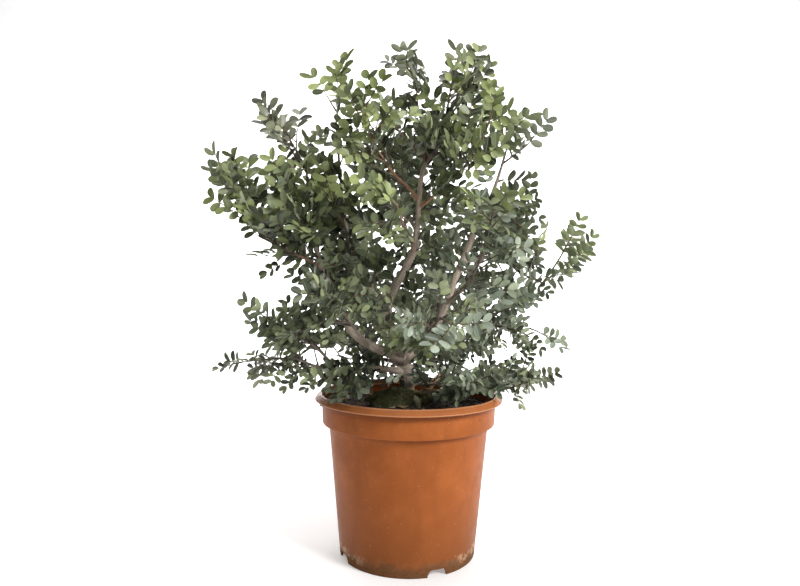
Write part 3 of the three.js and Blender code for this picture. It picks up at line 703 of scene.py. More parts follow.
def limb_axis(name):
    """Points about a step apart on a limb's line, each with its distance along it and its radius."""
    radii, path = LIMBS[name]
    fine = [limb_place(path, i / LINE_PARTS) for i in range(LINE_PARTS + 1)]
    lengths = [0.0]
    for a, b in zip(fine, fine[1:]):
        lengths.append(lengths[-1] + (b - a).length)
    total = lengths[-1]
    count = max(4, round(total / LIMB_STEP))
    close, wide = KNOT_SPACING
    axis = []
    for i in range(count + 1):
        wanted = total * i / count
        k = min(max(1, int(np.searchsorted(lengths, wanted))), LINE_PARTS)
        part = (wanted - lengths[k - 1]) / (lengths[k] - lengths[k - 1])
        place = fine[k - 1].lerp(fine[k], part)
        swell = 1 + COLLAR_SWELL * math.exp(-wanted / COLLAR_REACH) * (name != "trunk")
        wave = KNOT_SWELL * math.sin(wanted / close + len(name))
        knots = 1 + wave * math.sin(wanted / wide + 1.9 * len(path))
        axis.append((place, wanted, limb_radius(radii, i / count) * swell * knots))
    return axis


def stored(tree, label, kind="FLOAT"):
    """A number or vector that the points of the mesh carry."""
    return put(tree, "GeometryNodeInputNamedAttribute", {"Name": label}, data_type=kind).outputs[0]


def tube_tree():
    """Tubes with closed ends along the edges of a mesh, as thick as its radius attribute says."""
    inputs = {"Sides": ("Int", 12), "Material": ("Material", None)}
    tree, given, result = growth_tree("tubes", inputs)
    lines = put(tree, "GeometryNodeMeshToCurve", {"Mesh": given["Geometry"]}).outputs[0]
    section = put(tree, "GeometryNodeCurvePrimitiveCircle", {"Resolution": given["Sides"], "Radius": 1.0})
    tubes = put(tree, "GeometryNodeCurveToMesh", {
        "Curve": lines, "Profile Curve": section.outputs[0], "Fill Caps": True,
        "Scale": stored(tree, "radius"),
    }).outputs[0]
    smooth = put(tree, "GeometryNodeSetShadeSmooth", {"Geometry": tubes}).outputs[0]
    give_out(tree, result, smooth, given["Material"])
    return tree


TUBES = tube_tree()


def line_network(name, lines):
    """A mesh of edges along several lines of (place, radius) points, which stores each radius."""
    points, edges, radii = [], [], []
    for line in lines:
        first = len(points)
        points += [place for place, radius in line]
        radii += [radius * MM for place, radius in line]
        edges += [(i, i + 1) for i in range(first, len(points) - 1)]
    network = new_piece(name, points, [], edges)
    network.data.attributes.new("radius", "FLOAT", "POINT").data.foreach_set("value", radii)
    return network


def blended(piece, voxel, rounds):
    """Overlapping shapes made one closed skin, smoothed where they meet."""
    remesh = piece.modifiers.new("remesh", "REMESH")
    remesh.mode = "VOXEL"
    remesh.voxel_size = voxel * MM
    smooth = piece.modifiers.new("smooth", "SMOOTH")
    smooth.factor = 0.5
    smooth.iterations = rounds
    settle(piece)


def note_axes(piece, axes):
    """Stores at each point of the wood where it is along and round its limb, and what bark it has."""
    spots = [(*spot, name) for name, axis in axes.items() for spot in axis]
    tree = KDTree(len(spots))
    for i, (place, along, radius, name) in enumerate(spots):
        tree.insert(place * MM, i)
    tree.balance()
    count = len(piece.data.vertices)
    offsets, lengths, girths = np.zeros((count, 3)), np.zeros(count), np.zeros(count)
    young, dead = np.zeros(count), np.zeros(count)
    order = {name: i for i, name in enumerate(axes)}
    for vertex in piece.data.vertices:
        nearest = min(tree.find_n(vertex.co, 4), key=lambda found: found[2] - spots[found[1]][2] * MM)
        place, along, radius, name = spots[nearest[1]]
        offsets[vertex.index] = vertex.co - place * MM
        lengths[vertex.index] = along * MM + 0.37 * order[name]
        girths[vertex.index] = radius * MM
        young[vertex.index] = YOUNG_BARK.get(name, 0.0)
        dead[vertex.index] = DEAD_WOOD.get(name, 0.0)
    for label, values in (("along", lengths), ("girth", girths), ("young", young), ("dead", dead)):
        piece.data.attributes.new(label, "FLOAT", "POINT").data.foreach_set("value", values)
    from_axis = piece.data.attributes.new("from_axis", "FLOAT_VECTOR", "POINT").data
    from_axis.foreach_set("vector", offsets.ravel())


def scaled(tree, vector, scale):
    return put(tree, "ShaderNodeVectorMath", {0: vector, "Scale": scale}, operation="SCALE").outputs[0]


def lengthwise_noise(tree, from_axis, along, width, length, detail, roughness):
    """Noise that is drawn out along a limb, from 0 to 1."""
    given = {
        "Vector": scaled(tree, from_axis, maths(tree, "DIVIDE", 1.0, width)),
        "W": maths(tree, "DIVIDE", along, length), "Scale": 1.0, "Detail": detail, "Roughness": roughness,
    }
    return put(tree, "ShaderNodeTexNoise", given, noise_dimensions="4D").outputs[0]


def bark_relief_tree():
    """Raises bark ridges and cracks that run along each limb, deeper where it is thick."""
    inputs = {
        "Ridge depth": ("Float", 0.0009), "Ridge width": ("Float", 0.004), "Ridge length": ("Float", 0.03),
        "Scale depth": ("Float", 0.0004), "Material": ("Material", None),
    }
    tree, given, result = growth_tree("bark_relief", inputs)
    from_axis, along = stored(tree, "from_axis", "FLOAT_VECTOR"), stored(tree, "along")
    ridges = lengthwise_noise(tree, from_axis, along, given["Ridge width"], given["Ridge length"], 3.0, 0.6)
    scales = noise(tree, put(tree, "GeometryNodeInputPosition").outputs[0], 260.0, 2.0)
    thick = fade(tree, stored(tree, "girth"), *THIN_TO_THICK, RELIEF_ON_THIN, 1.0)
    ridge = maths(tree, "MULTIPLY", maths(tree, "SUBTRACT", ridges, 0.52), given["Ridge depth"])
    scale = maths(tree, "MULTIPLY", maths(tree, "SUBTRACT", scales, 0.5), given["Scale depth"])
    height = maths(tree, "MULTIPLY", maths(tree, "ADD", ridge, scale), maths(tree, "MULTIPLY", thick, 2.5))
    outward = scaled(tree, put(tree, "GeometryNodeInputNormal").outputs[0], height)
    raised = put(tree, "GeometryNodeSetPosition", {"Geometry": given["Geometry"], "Offset": outward})
    smooth = put(tree, "GeometryNodeSetShadeSmooth", {"Geometry": raised.outputs[0]}).outputs[0]
    give_out(tree, result, smooth, given["Material"])
    return tree


def make_lengthwise_grain():
    """Streaks along a limb, from the attributes that the wood carries."""
    inputs = {"Width": 0.002, "Length": 0.02, "Contrast": 0.5}
    tree, given, result = shader_group("lengthwise_grain", inputs, ["Streaks"])
    width, length = given.outputs["Width"], given.outputs["Length"]
    from_axis = put(tree, "ShaderNodeAttribute", attribute_name="from_axis").outputs["Vector"]
    streaks = lengthwise_noise(tree, from_axis, noted(tree, "along"), width, length, 4.0, 0.65)
    low = maths(tree, "MULTIPLY_ADD", given.outputs["Contrast"], -0.3, 0.5)
    high = maths(tree, "MULTIPLY_ADD", given.outputs["Contrast"], 0.3, 0.5)
    tree.links.new(fade(tree, streaks, low, high), result.inputs["Streaks"])
    return tree


LENGTHWISE_GRAIN = make_lengthwise_grain()


def bark_material():
    material, tree, shader = new_material("bark")
    cracks = from_group(tree, LENGTHWISE_GRAIN, Width=0.0022, Length=0.016, Contrast=0.7)
    flecks = from_group(tree, LENGTHWISE_GRAIN, Width=0.0010, Length=0.004, Contrast=0.6)
    lichen = from_group(tree, MOTTLING, Size=0.014, Contrast=0.6)
    girth = noted(tree, "girth")
    bark = mixed(tree, cracks, (0.27, 0.20, 0.155, 1), (0.76, 0.61, 0.48, 1))
    bark = laid_over(tree, bark, (0.74, 0.64, 0.53, 1), flecks, 0.4)
    bark = laid_over(tree, bark, (0.44, 0.41, 0.34, 1), lichen, 0.25)
    dark_bark = mixed(tree, cracks, (0.055, 0.042, 0.032, 1), (0.20, 0.16, 0.125, 1))
    bark = laid_over(tree, bark, dark_bark, fade(tree, girth, 0.0062, 0.0095), 0.85)
    thin_bark = mixed(tree, cracks, (0.11, 0.085, 0.068, 1), (0.26, 0.21, 0.17, 1))
    bark = mixed(tree, fade(tree, girth, 0.0019, 0.0036, 0.9, 0.0), bark, thin_bark)
    smooth_bark = mixed(tree, cracks, (0.33, 0.145, 0.080, 1), (0.58, 0.34, 0.22, 1))
    bark = mixed(tree, noted(tree, "young"), bark, smooth_bark)
    grey_wood = mixed(tree, cracks, (0.34, 0.19, 0.09, 1), (0.66, 0.50, 0.33, 1))
    bark = mixed(tree, noted(tree, "dead"), bark, grey_wood)
    moss = from_group(tree, RISING_STAIN, Height=MOSSY_UP_TO, Raggedness=0.014, Softness=0.007, Grain=0.012)
    mossy = mixed(tree, flecks, (0.045, 0.055, 0.018, 1), (0.13, 0.14, 0.045, 1))
    bark = laid_over(tree, bark, mossy, moss, 0.8)
    tree.links.new(bark, shader.inputs["Base Color"])
    tree.links.new(maths(tree, "MULTIPLY_ADD", cracks, -0.15, 0.85), shader.inputs["Roughness"])
    roughen(tree, shader, maths(tree, "MULTIPLY_ADD", flecks, 0.5, cracks), 0.0004, 0.8)
    return material


axes = {name: limb_axis(name) for name in LIMBS}
bark = bark_material()
lines = [[(place, radius) for place, along, radius in axis] for axis in axes.values()]
network = line_network("limb_lines", lines)
wood = grown(network, TUBES, "limb_tubes", Sides=TUBE_SIDES, Material=bark)
blended(wood, WOOD_VOXEL, WOOD_SMOOTHINGS)
note_axes(wood, axes)
wood = grown(wood, bark_relief_tree(), "trunk_and_limbs_with_bark", Material=bark)
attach(wood, "root")
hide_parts("trunk_and_limbs")


# Leafy sprays
# Green shoots at the ends and along the limbs. Each carries leathery even-pinnate leaves: a narrow winged
# rib with three or four pairs of blunt oval leaflets. Outer leaves are yellow-green, shaded ones darker.

# The limb that each spray breaks from, at which share of the limb, and its tip. A forked one has two tips.
SPRAYS = [
    ("low_left", 1, (-241, -60, 244), (-203, -84, 228)),
    ("low_left", 0.45, (-79, -105, 222), (-130, -90, 226)),
    ("low_left_rise", 1, (-205, -72, 324), (-193, -100, 305)),
    ("left_long", 1, (-248.6, -45, 492), (-232, -12, 510)),
    ("left_long", 0.6, (-240, -100, 430), (-190, -98, 392)),
    ("left_limb", 1, (-186, -50, 568), (-142, -20, 569)),
    ("left_limb", 0.93, (-173, -85, 498)),
    ("left_limb", 0.84, (-139, -125, 442)),
    ("left_middle", 1, (-85, -25, 628), (-122, -45, 602)),
    ("left_middle", 0.75, (-105, -110, 477)),
    ("red_shoot", 1, (-62, -55, 597)),
    ("red_shoot", 0.62, (-91, -100, 516)),
    ("red_shoot", 0.85, (-17, -95, 554)),
    ("top_shoot", 0.75, (-42, 22, 643), (-52, 34, 620)),
    ("top_shoot", 1, (-26, 22, 661)),
    ("top_shoot", 0.8, (45, 28, 656)),
    ("leader", 1, (53, -20, 616)),
    ("leader", 0.94, (85, 15, 657)),
    ("leader", 0.8, (31, -85, 525)),
    ("pink_shoot", 1, (117, -45, 612)),
    ("pink_shoot", 0.75, (84, -110, 507)),
    ("right_limb", 1, (141, 45, 599)),
    ("right_limb", 0.95, (203, 75, 571)),
    ("right_limb", 0.88, (199, 85, 515), (190, 100, 540)),
    ("right_upper", 1, (168, 35, 487), (185, 15, 445)),
    ("right_branch", 1, (259, 28, 418), (243.3, 35, 356)),
    ("right_branch", 0.75, (175, -10, 432)),
    ("right_low", 1, (216, 20, 301), (202, -5, 267)),
    ("low_right", 1, (190, -30, 241), (176, -52, 216)),
    ("low_right", 0.5, (77, -100, 239)),
    ("low_right", 0.2, (17, -105, 228)),
    ("front_low", 1, (53, -183, 291)),
    ("front_low", 0.8, (-8, -170, 311)),
    ("front_low", 0.5, (-16, -135, 268)),
    ("front_left", 1, (-100, -170, 346)),
    ("front_left", 0.65, (-120, -125, 303), (-164, -118, 279)),
    ("front_upper", 1, (-43, -154, 453)),
    ("front_upper", 0.7, (-65, -140, 406)),
    ("front_right", 1, (98, -120, 453)),
    ("front_right", 0.75, (133, -95, 377)),
    ("front_right", 0.45, (74, -120, 329)),
    ("back_middle", 1, (33, 179, 490)),
    ("back_middle", 0.75, (82, 177.5, 420)),
    ("back_middle", 0.5, (-13, 181.7, 332)),
    ("back_left", 1, (-134, 170, 470)),
    ("back_left", 0.75, (-155, 165, 365)),
    ("back_left", 0.55, (-64, 180, 423)),
    ("back_right", 1, (151, 165, 495)),
    ("back_right", 0.7, (188, 140, 418)),
    ("back_right", 0.4, (149, 165, 342)),
    ("back_upper", 1, (-37, 120, 599)),
    ("back_upper", 0.75, (29, 120, 585)),
    ("back_upper", 0.5, (-73, 125, 524)),
    ("back_low_left", 1, (-142, 160, 262)),
    ("back_low_right", 1, (159, 160, 289)),
    ("back_low_right", 0.5, (67, 178, 254)),
    ("right_low", 0.55, (165, 0, 345)),
]
# How light its leaves are painted, from 0 to 1, and how much purple blush and how much pale blue-grey they
# have, partly a waxy bloom and partly a painted sheen.
LOOKS = {
    "sunlit": {"tone": 0.78, "blush": 0.0, "bloom_and_sheen": 0.0},
    "green": {"tone": 0.5, "blush": 0.05, "bloom_and_sheen": 0.1},
    "shaded": {"tone": 0.34, "blush": 0.15, "bloom_and_sheen": 0.25},
    "dusky": {"tone": 0.42, "blush": 0.8, "bloom_and_sheen": 0.1},
    "bluish": {"tone": 0.48, "blush": 0.05, "bloom_and_sheen": 0.85},
}
# The numbers of the sprays that have each look. The others are shaded.
LOOK_OF = {
    "sunlit": (9, 10, 11, 13, 17, 20, 22, 25, 26, 37, 51),
    "green": (4, 5, 7, 8, 12, 16, 19, 21, 27, 34, 38, 39, 52),
    "dusky": (1, 6, 14, 15, 18, 23, 24, 29),
    "bluish": (28, 30, 31, 32, 33, 40, 41, 56, 57),
}
TWIG_ROOT_RADIUS = 1.6
TWIG_TIP_RADIUS = 0.8
TWIG_STEP = 9.0
TWIG_SIDES = 7
TWIG_SWAY = 0.06
TWIG_ARCH = 0.1
END_LEAF = 42
SHORTEST_SHARE = 0.4
SIDE_STARTS = (0.3, 0.62)
SIDE_LENGTHS = (0.55, 0.42)
SIDE_TURNS = (0.7, 1)
SIDE_RISES = (0.05, 0.3)
SIDE_TWIG_THINNER = 0.35
FORK_START = 0.35
FIRST_LEAF = 0.2
LEAF_SPACING = 16
FEWEST_LEAVES = 2
LEAF_TURN = 0.75
FIRST_LEAF_SPREAD = 1.1
SPREAD_LOST_TO_TIP = 0.6
END_LEAF_SPREAD = 0.15
# How far a leaf's face is turned sideways, outward and up, and the draws that are added to each.
FACING = (0.6, 0.8, 0.4)
FACING_DRAWS = ((-0.6, 0.6), (-0.3, 0.3), (-0.4, 0.5))
FEWEST_PAIRS = 3
MORE_PAIRS = 1.7
MORE_AT_END = 0.6
LEAF_SIZES = (0.82, 1.1)
END_LEAF_SIZE = 0.92
PETIOLE = 8
PAIR_SPACING = 10.8
LEAFLET_LENGTH = 17.5
LEAFLET_HALF_WIDTH = 4.9
BROADER_PAST_MIDDLE = 0.14
BLADE_THICKNESS = 0.5
RIB_SECTION = (1.5, 0.75)
LOW_LEAF_SIZE = 0.68
LOW_BLADE_SIZE = 0.77
FULL_LEAF_SIZE_FROM = (240, 430)
SIDE_ANGLE = 1.12
END_ANGLE = 0.66
DROOP = 2.2
CROWN_HALF_WIDTH = 260
CROWN_MIDDLE = 20
CROWN_FROM = (-238, -168, 232)
CROWN_TO = (236, 168, 632)
CROWN_CENTRE = 400
CROWN_REACH = (255, 185, 265)
SHADED_WITHIN = 0.95
DEEPEST_SHADE_OVER = 0.6
TONE_LOST_IN_SHADE = 0.4
TONE_DRAW = 0.27
UP = Vector((0, 0, 1))


def seeded_draw(seed):
    """Repeatable random draws, each from 0 to 1."""
    whole = 2 ** 32
    state = (seed * 2654435761) % whole

    def draw():
        nonlocal state
        state = (state * 1664525 + 1013904223) % whole
        return state / whole
    return draw


def between(draw, low, high):
    return low + (high - low) * draw()


def leaf_size_at(height, lowest=LOW_LEAF_SIZE):
    """Leaves are smaller on the low shoots and full-sized from the middle of the crown up."""
    low, high = FULL_LEAF_SIZE_FROM
    return lowest + (1 - lowest) * min(max((height - low) / (high - low), 0), 1)


class Twig:
    """A twig's line, a single bend from its root to its tip, which stops a leaf short of its reach."""

    def __init__(self, root, reached, draw):
        reach = (reached - root).length
        self.root = root
        end_leaf = END_LEAF * leaf_size_at(reached.z)
        self.tip = root.lerp(reached, max(1 - end_leaf / reach, SHORTEST_SHARE))
        self.length = (self.tip - root).length
        self.middle = root.lerp(self.tip, 0.5)
        self.middle.x += between(draw, -TWIG_SWAY, TWIG_SWAY) * self.length
        self.middle.y += between(draw, -TWIG_SWAY, TWIG_SWAY) * self.length
        self.middle.z += TWIG_ARCH * (0.5 * self.length - (self.tip.z - root.z))

    def place(self, share):
        return self.root.lerp(self.middle, share).lerp(self.middle.lerp(self.tip, share), share)

    def direction(self, share):
        return (self.middle - self.root).lerp(self.tip - self.middle, share).normalized()


def inside_crown(end):
    """A side shoot's end, kept within the reach of the main shoots."""
    return Vector(min(max(end[k], CROWN_FROM[k]), CROWN_TO[k]) for k in range(3))


def twigs_of(spray, draw):
    """A spray's main twig, then its fork or its two side shoots."""
    limb, share, tip, *fork_tip = spray
    root, tip = limb_place(LIMBS[limb][1], share), Vector(tip)
    main = Twig(root, tip, draw)
    if fork_tip:
        return [main, Twig(main.place(FORK_START), Vector(fork_tip[0]), draw)]
    twigs = [main]
    for i, (start, length) in enumerate(zip(SIDE_STARTS, SIDE_LENGTHS)):
        origin, along = main.place(start), main.direction(start)
        across = along.cross(UP).normalized()
        turn = between(draw, *SIDE_TURNS)
        reach = length * (tip - root).length
        side = reach if i % 2 == 0 else -reach
        end = origin + along * math.cos(turn) * reach + across * math.sin(turn) * side
        end.z += between(draw, *SIDE_RISES) * reach
        twigs.append(Twig(origin, inside_crown(end), draw))
    return twigs


def leaves_of(twig, draw):
    """Where each leaf of a twig grows, where it points and faces, its size and its pairs of leaflets."""
    spacing = LEAF_SPACING * leaf_size_at(twig.root.z)
    count = max(FEWEST_LEAVES, int(twig.length * (1 - FIRST_LEAF) / spacing + 0.5) + 1)
    leaves = []
    for i in range(count):
        step = i / (count - 1)
        share = FIRST_LEAF + (1 - FIRST_LEAF) * step
        root, along = twig.place(share), twig.direction(share)
        across = along.cross(UP).normalized()
        above = across.cross(along)
        last = i == count - 1
        turn = (i % 2) * math.pi + between(draw, -LEAF_TURN, LEAF_TURN)
        spread = END_LEAF_SPREAD if last else FIRST_LEAF_SPREAD - SPREAD_LOST_TO_TIP * step
        beside = across * math.cos(turn) + above * math.sin(turn)
        aim = (along * math.cos(spread) + beside * math.sin(spread)).normalized()
        sideways, outward, up = FACING
        away = outward if root.y > CROWN_MIDDLE else -outward
        face = Vector((sideways * root.x / CROWN_HALF_WIDTH, away, up))
        face += Vector([between(draw, *span) for span in FACING_DRAWS])
        face = (face - aim * face.dot(aim)).normalized()
        size = between(draw, *LEAF_SIZES) * (END_LEAF_SIZE if last else 1)
        size *= leaf_size_at(root.z, LOW_BLADE_SIZE)
        pairs = FEWEST_PAIRS + int(between(draw, 0, MORE_PAIRS) * (MORE_AT_END if last else 1))
        leaves.append((root, aim, face, size, pairs))
    return leaves


def leaflet(name, steps, fold, curl):
    """A blunt oval blade, closed all round, with its stalk end at the origin. U is 1 higher underneath."""
    half, long = LEAFLET_HALF_WIDTH, LEAFLET_LENGTH
    points, marks, faces = [], [], []
    for i in range(steps + 1):
        turn = math.pi * i / steps
        share = 0.5 - 0.5 * math.cos(turn)
        width = math.sin(turn) * (1 - BROADER_PAST_MIDDLE * math.cos(turn))
        droop = curl * long * share * share
        at_edge = fold * width * half - droop
        for y, z in ((-width, at_edge), (0, -droop), (width, at_edge), (0, -droop - BLADE_THICKNESS)):
            points.append(Vector((share * long, y * half, z)))
            marks.append((0.5 + 0.5 * y, share))
    for i in range(steps):
        left, middle, right, under = range(4 * i, 4 * i + 4)
        faces.append((left, left + 4, middle + 4, middle))
        faces.append((middle, middle + 4, right + 4, right))
        faces.append((under, under + 4, left + 4, left))
        faces.append((right, right + 4, under + 4, under))
    piece = new_piece(name, points, faces)
    chart = piece.data.uv_layers.new(name="UVMap")
    for face in piece.data.polygons:
        for corner in face.loop_indices:
            u, v = marks[piece.data.loops[corner].vertex_index]
            chart.data[corner].uv = (u + (face.index % 4 > 1), v)
    shape = bmesh.new()
    shape.from_mesh(piece.data)
    bmesh.ops.remove_doubles(shape, verts=shape.verts, dist=0.00002)
    shape.to_mesh(piece.data)
    shape.free()
    soften(piece, 60)
    return piece


def leaf_tree(name, leaflets):
    """One leaf along +X facing +Z: pairs of leaflets along a winged rib, then bent down and sideways."""
    inputs = {"Pairs": ("Int", 4), "Seed": ("Int", 0), "Sway": ("Float", 0.0)}
    tree, given, result = growth_tree(name, inputs)
    seed, pairs = given["Seed"], given["Pairs"]
    line = put(tree, "GeometryNodeMeshLine", {
        "Count": pairs, "Start Location": (PETIOLE * MM, 0, 0), "Offset": (PAIR_SPACING * MM, 0, 0),
    })
    number = maths(tree, "ADD", put(tree, "GeometryNodeInputIndex").outputs[0], 1.0)
    half_turns = maths(tree, "MULTIPLY", number, math.pi)
    wave = maths(tree, "SINE", maths(tree, "DIVIDE", half_turns, maths(tree, "ADD", pairs, 1.0)))
    fullness = maths(tree, "MULTIPLY_ADD", wave, 0.14, 0.86)
    is_last = maths(tree, "GREATER_THAN", number, maths(tree, "SUBTRACT", pairs, 0.5))
    angle = maths(tree, "MULTIPLY_ADD", is_last, END_ANGLE - SIDE_ANGLE, SIDE_ANGLE)
    halves = []
    for side, blade, first in ((1.0, leaflets[0], 0.0), (-1.0, leaflets[1], 10.0)):
        own = maths(tree, "ADD", seed, first)

        def jitter(low, high, step):
            return drawn(tree, low, high, maths(tree, "ADD", own, float(step)))

        turn = maths(tree, "MULTIPLY", maths(tree, "ADD", angle, jitter(-0.16, 0.16, 1)), side)
        flat = vector_of(tree, Z=turn)
        tilt = vector_of(tree, X=jitter(-0.35, 0.35, 2), Y=jitter(-0.42, 0.06, 3))
        rotation = put(tree, "FunctionNodeRotateRotation", {
            "Rotation": put(tree, "FunctionNodeEulerToRotation", {0: flat}).outputs[0],
            "Rotate By": put(tree, "FunctionNodeEulerToRotation", {0: tilt}).outputs[0],
        }, rotation_space="LOCAL").outputs[0]
        long = maths(tree, "MULTIPLY", fullness, jitter(0.9, 1.06, 4))
        wide = maths(tree, "MULTIPLY", fullness, jitter(0.86, 1.08, 5))
        shape = put(tree, "GeometryNodeObjectInfo", {"Object": blade}).outputs["Geometry"]
        size = vector_of(tree, X=long, Y=wide, Z=long)
        copies = put(tree, "GeometryNodeInstanceOnPoints", {
            "Points": line.outputs[0], "Instance": shape, "Rotation": rotation, "Scale": size,
        }).outputs[0]
        nudge = vector_of(tree, X=jitter(-0.0012, 0.0012, 6), Y=side * 0.5 * MM)
        moved = put(tree, "GeometryNodeTranslateInstances", {
            "Instances": copies, "Translation": nudge, "Local Space": False,
        }).outputs[0]
        halves.append(marked(tree, moved, "tint", jitter(0.0, 1.0, 7), "INSTANCE"))
    gaps = maths(tree, "SUBTRACT", pairs, 1.0)
    reach = maths(tree, "MULTIPLY_ADD", gaps, PAIR_SPACING * MM, (PETIOLE + 1.5) * MM)
    end = vector_of(tree, X=reach)
    rib_line = put(tree, "GeometryNodeCurvePrimitiveLine", {"Start": (0, 0, 0), "End": end}).outputs[0]
    rib_line = put(tree, "GeometryNodeResampleCurve", {"Curve": rib_line, "Count": 7}).outputs[0]
    share = put(tree, "GeometryNodeSplineParameter").outputs["Factor"]
    slimming = maths(tree, "MULTIPLY_ADD", share, -0.45, 1.0)
    width, height = RIB_SECTION
    section = put(tree, "GeometryNodeCurvePrimitiveQuadrilateral", {
        "Width": width * MM, "Height": height * MM,
    })
    rib = put(tree, "GeometryNodeCurveToMesh", {
        "Curve": rib_line, "Profile Curve": section.outputs[0], "Scale": slimming, "Fill Caps": True,
    }).outputs[0]
    whole = put(tree, "GeometryNodeJoinGeometry")
    for part in (*halves, marked(tree, rib, "tint", -1.0, "POINT")):
        tree.links.new(part, whole.inputs[0])
    real = put(tree, "GeometryNodeRealizeInstances", {0: whole.outputs[0]}).outputs[0]
    along = part_of(tree, put(tree, "GeometryNodeInputPosition").outputs[0], "X")
    square = maths(tree, "MULTIPLY", along, along)
    dip = maths(tree, "MULTIPLY", square, -DROOP)
    bend = vector_of(tree, Y=maths(tree, "MULTIPLY", square, given["Sway"]), Z=dip)
    bent = put(tree, "GeometryNodeSetPosition", {"Geometry": real, "Offset": bend}).outputs[0]
    tree.links.new(bent, result.inputs[0])
    return tree


def spray_tree(leaves):
    """Twigs along the edges of a mesh, and a leaf at each loose point: the one of its variant number."""
    inputs = {"Sides": ("Int", 7), "Leaf material": ("Material", None), "Twig material": ("Material", None)}
    tree, given, result = growth_tree("spray", inputs)
    variant = stored(tree, "variant", "INT")
    is_leaf = maths(tree, "GREATER_THAN", variant, -0.5)
    parts = put(tree, "GeometryNodeSeparateGeometry", {"Geometry": given["Geometry"], "Selection": is_leaf})
    tubes = put(tree, "GeometryNodeGroup", {
        "Geometry": parts.outputs["Inverted"], "Sides": given["Sides"], "Material": given["Twig material"],
    }, node_tree=TUBES).outputs[0]
    aim, face = stored(tree, "aim", "FLOAT_VECTOR"), stored(tree, "face", "FLOAT_VECTOR")
    rotation = put(tree, "FunctionNodeAxesToRotation", {
        "Primary Axis": aim, "Secondary Axis": face,
    }, primary_axis="X", secondary_axis="Z").outputs[0]
    whole = put(tree, "GeometryNodeJoinGeometry")
    tree.links.new(marked(tree, tubes, "is_twig", 1.0, "POINT"), whole.inputs[0])
    for number, leaf in enumerate(leaves):
        chosen = maths(tree, "COMPARE", variant, float(number), 0.5)
        shape = put(tree, "GeometryNodeObjectInfo", {"Object": leaf}).outputs["Geometry"]
        copies = put(tree, "GeometryNodeInstanceOnPoints", {
            "Points": parts.outputs["Selection"], "Selection": chosen, "Instance": shape,
            "Rotation": rotation, "Scale": stored(tree, "size"),
        }).outputs[0]
        tree.links.new(copies, whole.inputs[0])
    real = put(tree, "GeometryNodeRealizeInstances", {0: whole.outputs[0]}).outputs[0]
    leafy = put(tree, "GeometryNodeSetMaterial", {"Geometry": real, "Material": given["Leaf material"]})
    woody = maths(tree, "GREATER_THAN", stored(tree, "is_twig"), 0.5)
    made = put(tree, "GeometryNodeSetMaterial", {
        "Geometry": leafy.outputs[0], "Selection": woody, "Material": given["Twig material"],
    })
    tree.links.new(made.outputs[0], result.inputs[0])
    return tree


def leaf_colouring(root, look, draw):
    """A leaf's tone, from 0 in deep shade to 1 in full sun, its purple blush and its pale blue-grey, partly a
    waxy bloom and partly a painted sheen.
    """
    wide, deep, high = CROWN_REACH
    outward = Vector((root.x / wide, root.y / deep, (root.z - CROWN_CENTRE) / high)).length
    # Leaves deeper in the crown get a lower tone: painted shade.
    depth = min(max((SHADED_WITHIN - outward) / DEEPEST_SHADE_OVER, 0), 1)
    tone = look["tone"] * (1 - TONE_LOST_IN_SHADE * depth) + draw.uniform(-TONE_DRAW, TONE_DRAW)
    blush = look["blush"] * draw.uniform(0.5, 1.2)
    return min(max(tone, 0), 1), min(blush, 1), look["bloom_and_sheen"] * draw.uniform(0.5, 1.1)


def leaf_material():
    material, tree, shader = new_material("mastic_leaf", IOR=1.45, Specular_IOR_Level=0.6)
    chart = put(tree, "ShaderNodeUVMap", uv_map="UVMap").outputs[0]
    across, along = part_of(tree, chart, "X"), part_of(tree, chart, "Y")
    tint = noted(tree, "tint")
    underside = maths(tree, "GREATER_THAN", across, 1.0)
    is_rib = maths(tree, "LESS_THAN", tint, -0.5)
    off_middle = maths(tree, "ABSOLUTE", maths(tree, "SUBTRACT", maths(tree, "FRACT", across), 0.5))
    patches = from_group(tree, MOTTLING, Size=0.006, Contrast=0.8)
    tinted = maths(tree, "MULTIPLY_ADD", tint, 1.2, -0.60)
    # The tone paints sun and shade into the green: darker where shaded, yellow-green where sunlit.
    lightness = maths(tree, "ADD", noted(tree, "tone"), tinted, clamp=True)
    green = mixed(tree, fade(tree, lightness, 0.0, 0.55), (0.017, 0.024, 0.012, 1), (0.180, 0.215, 0.093, 1))
    green = mixed(tree, fade(tree, lightness, 0.5, 0.95), green, (0.425, 0.490, 0.185, 1))
    # Pale blue-grey, partly a waxy bloom and partly a painted sheen.
    bloom_sheen_colour = mixed(tree, lightness, (0.055, 0.075, 0.060, 1), (0.46, 0.53, 0.44, 1))
    green = mixed(tree, noted(tree, "bloom_and_sheen"), green, bloom_sheen_colour)
    purple = mixed(tree, lightness, (0.050, 0.040, 0.040, 1), (0.36, 0.315, 0.31, 1))
    green = laid_over(tree, green, purple, noted(tree, "blush"), 0.75)
    green = laid_over(tree, green, (0.090, 0.120, 0.065, 1), patches, 0.18)
    slope = maths(tree, "MULTIPLY_ADD", off_middle, -1.1, along)
    vein = maths(tree, "SINE", maths(tree, "MULTIPLY", slope, 52.0))
    veins = fade(tree, vein, 0.72, 1.0, 0.0, 0.25)
    green = mixed(tree, veins, green, (0.30, 0.36, 0.17, 1))
    midrib = fade(tree, off_middle, 0.02, 0.055, 1.0, 0.0)
    green = laid_over(tree, green, (0.40, 0.43, 0.22, 1), midrib, 0.4)
    margin = fade(tree, off_middle, 0.38, 0.5, 0.0, 0.3)
    green = mixed(tree, margin, green, (0.30, 0.30, 0.15, 1))
    paler = mixed(tree, 0.5, green, (0.25, 0.29, 0.20, 1))
    green = mixed(tree, underside, green, paler)
    green = mixed(tree, is_rib, green, (0.13, 0.095, 0.045, 1))
    tree.links.new(green, shader.inputs["Base Color"])
    gloss = maths(tree, "MULTIPLY_ADD", underside, 0.26, 0.33)
    tree.links.new(maths(tree, "MULTIPLY_ADD", patches, 0.1, gloss), shader.inputs["Roughness"])
    roughen(tree, shader, maths(tree, "MULTIPLY_ADD", midrib, -0.6, veins), 0.0003, 0.6)
    return material


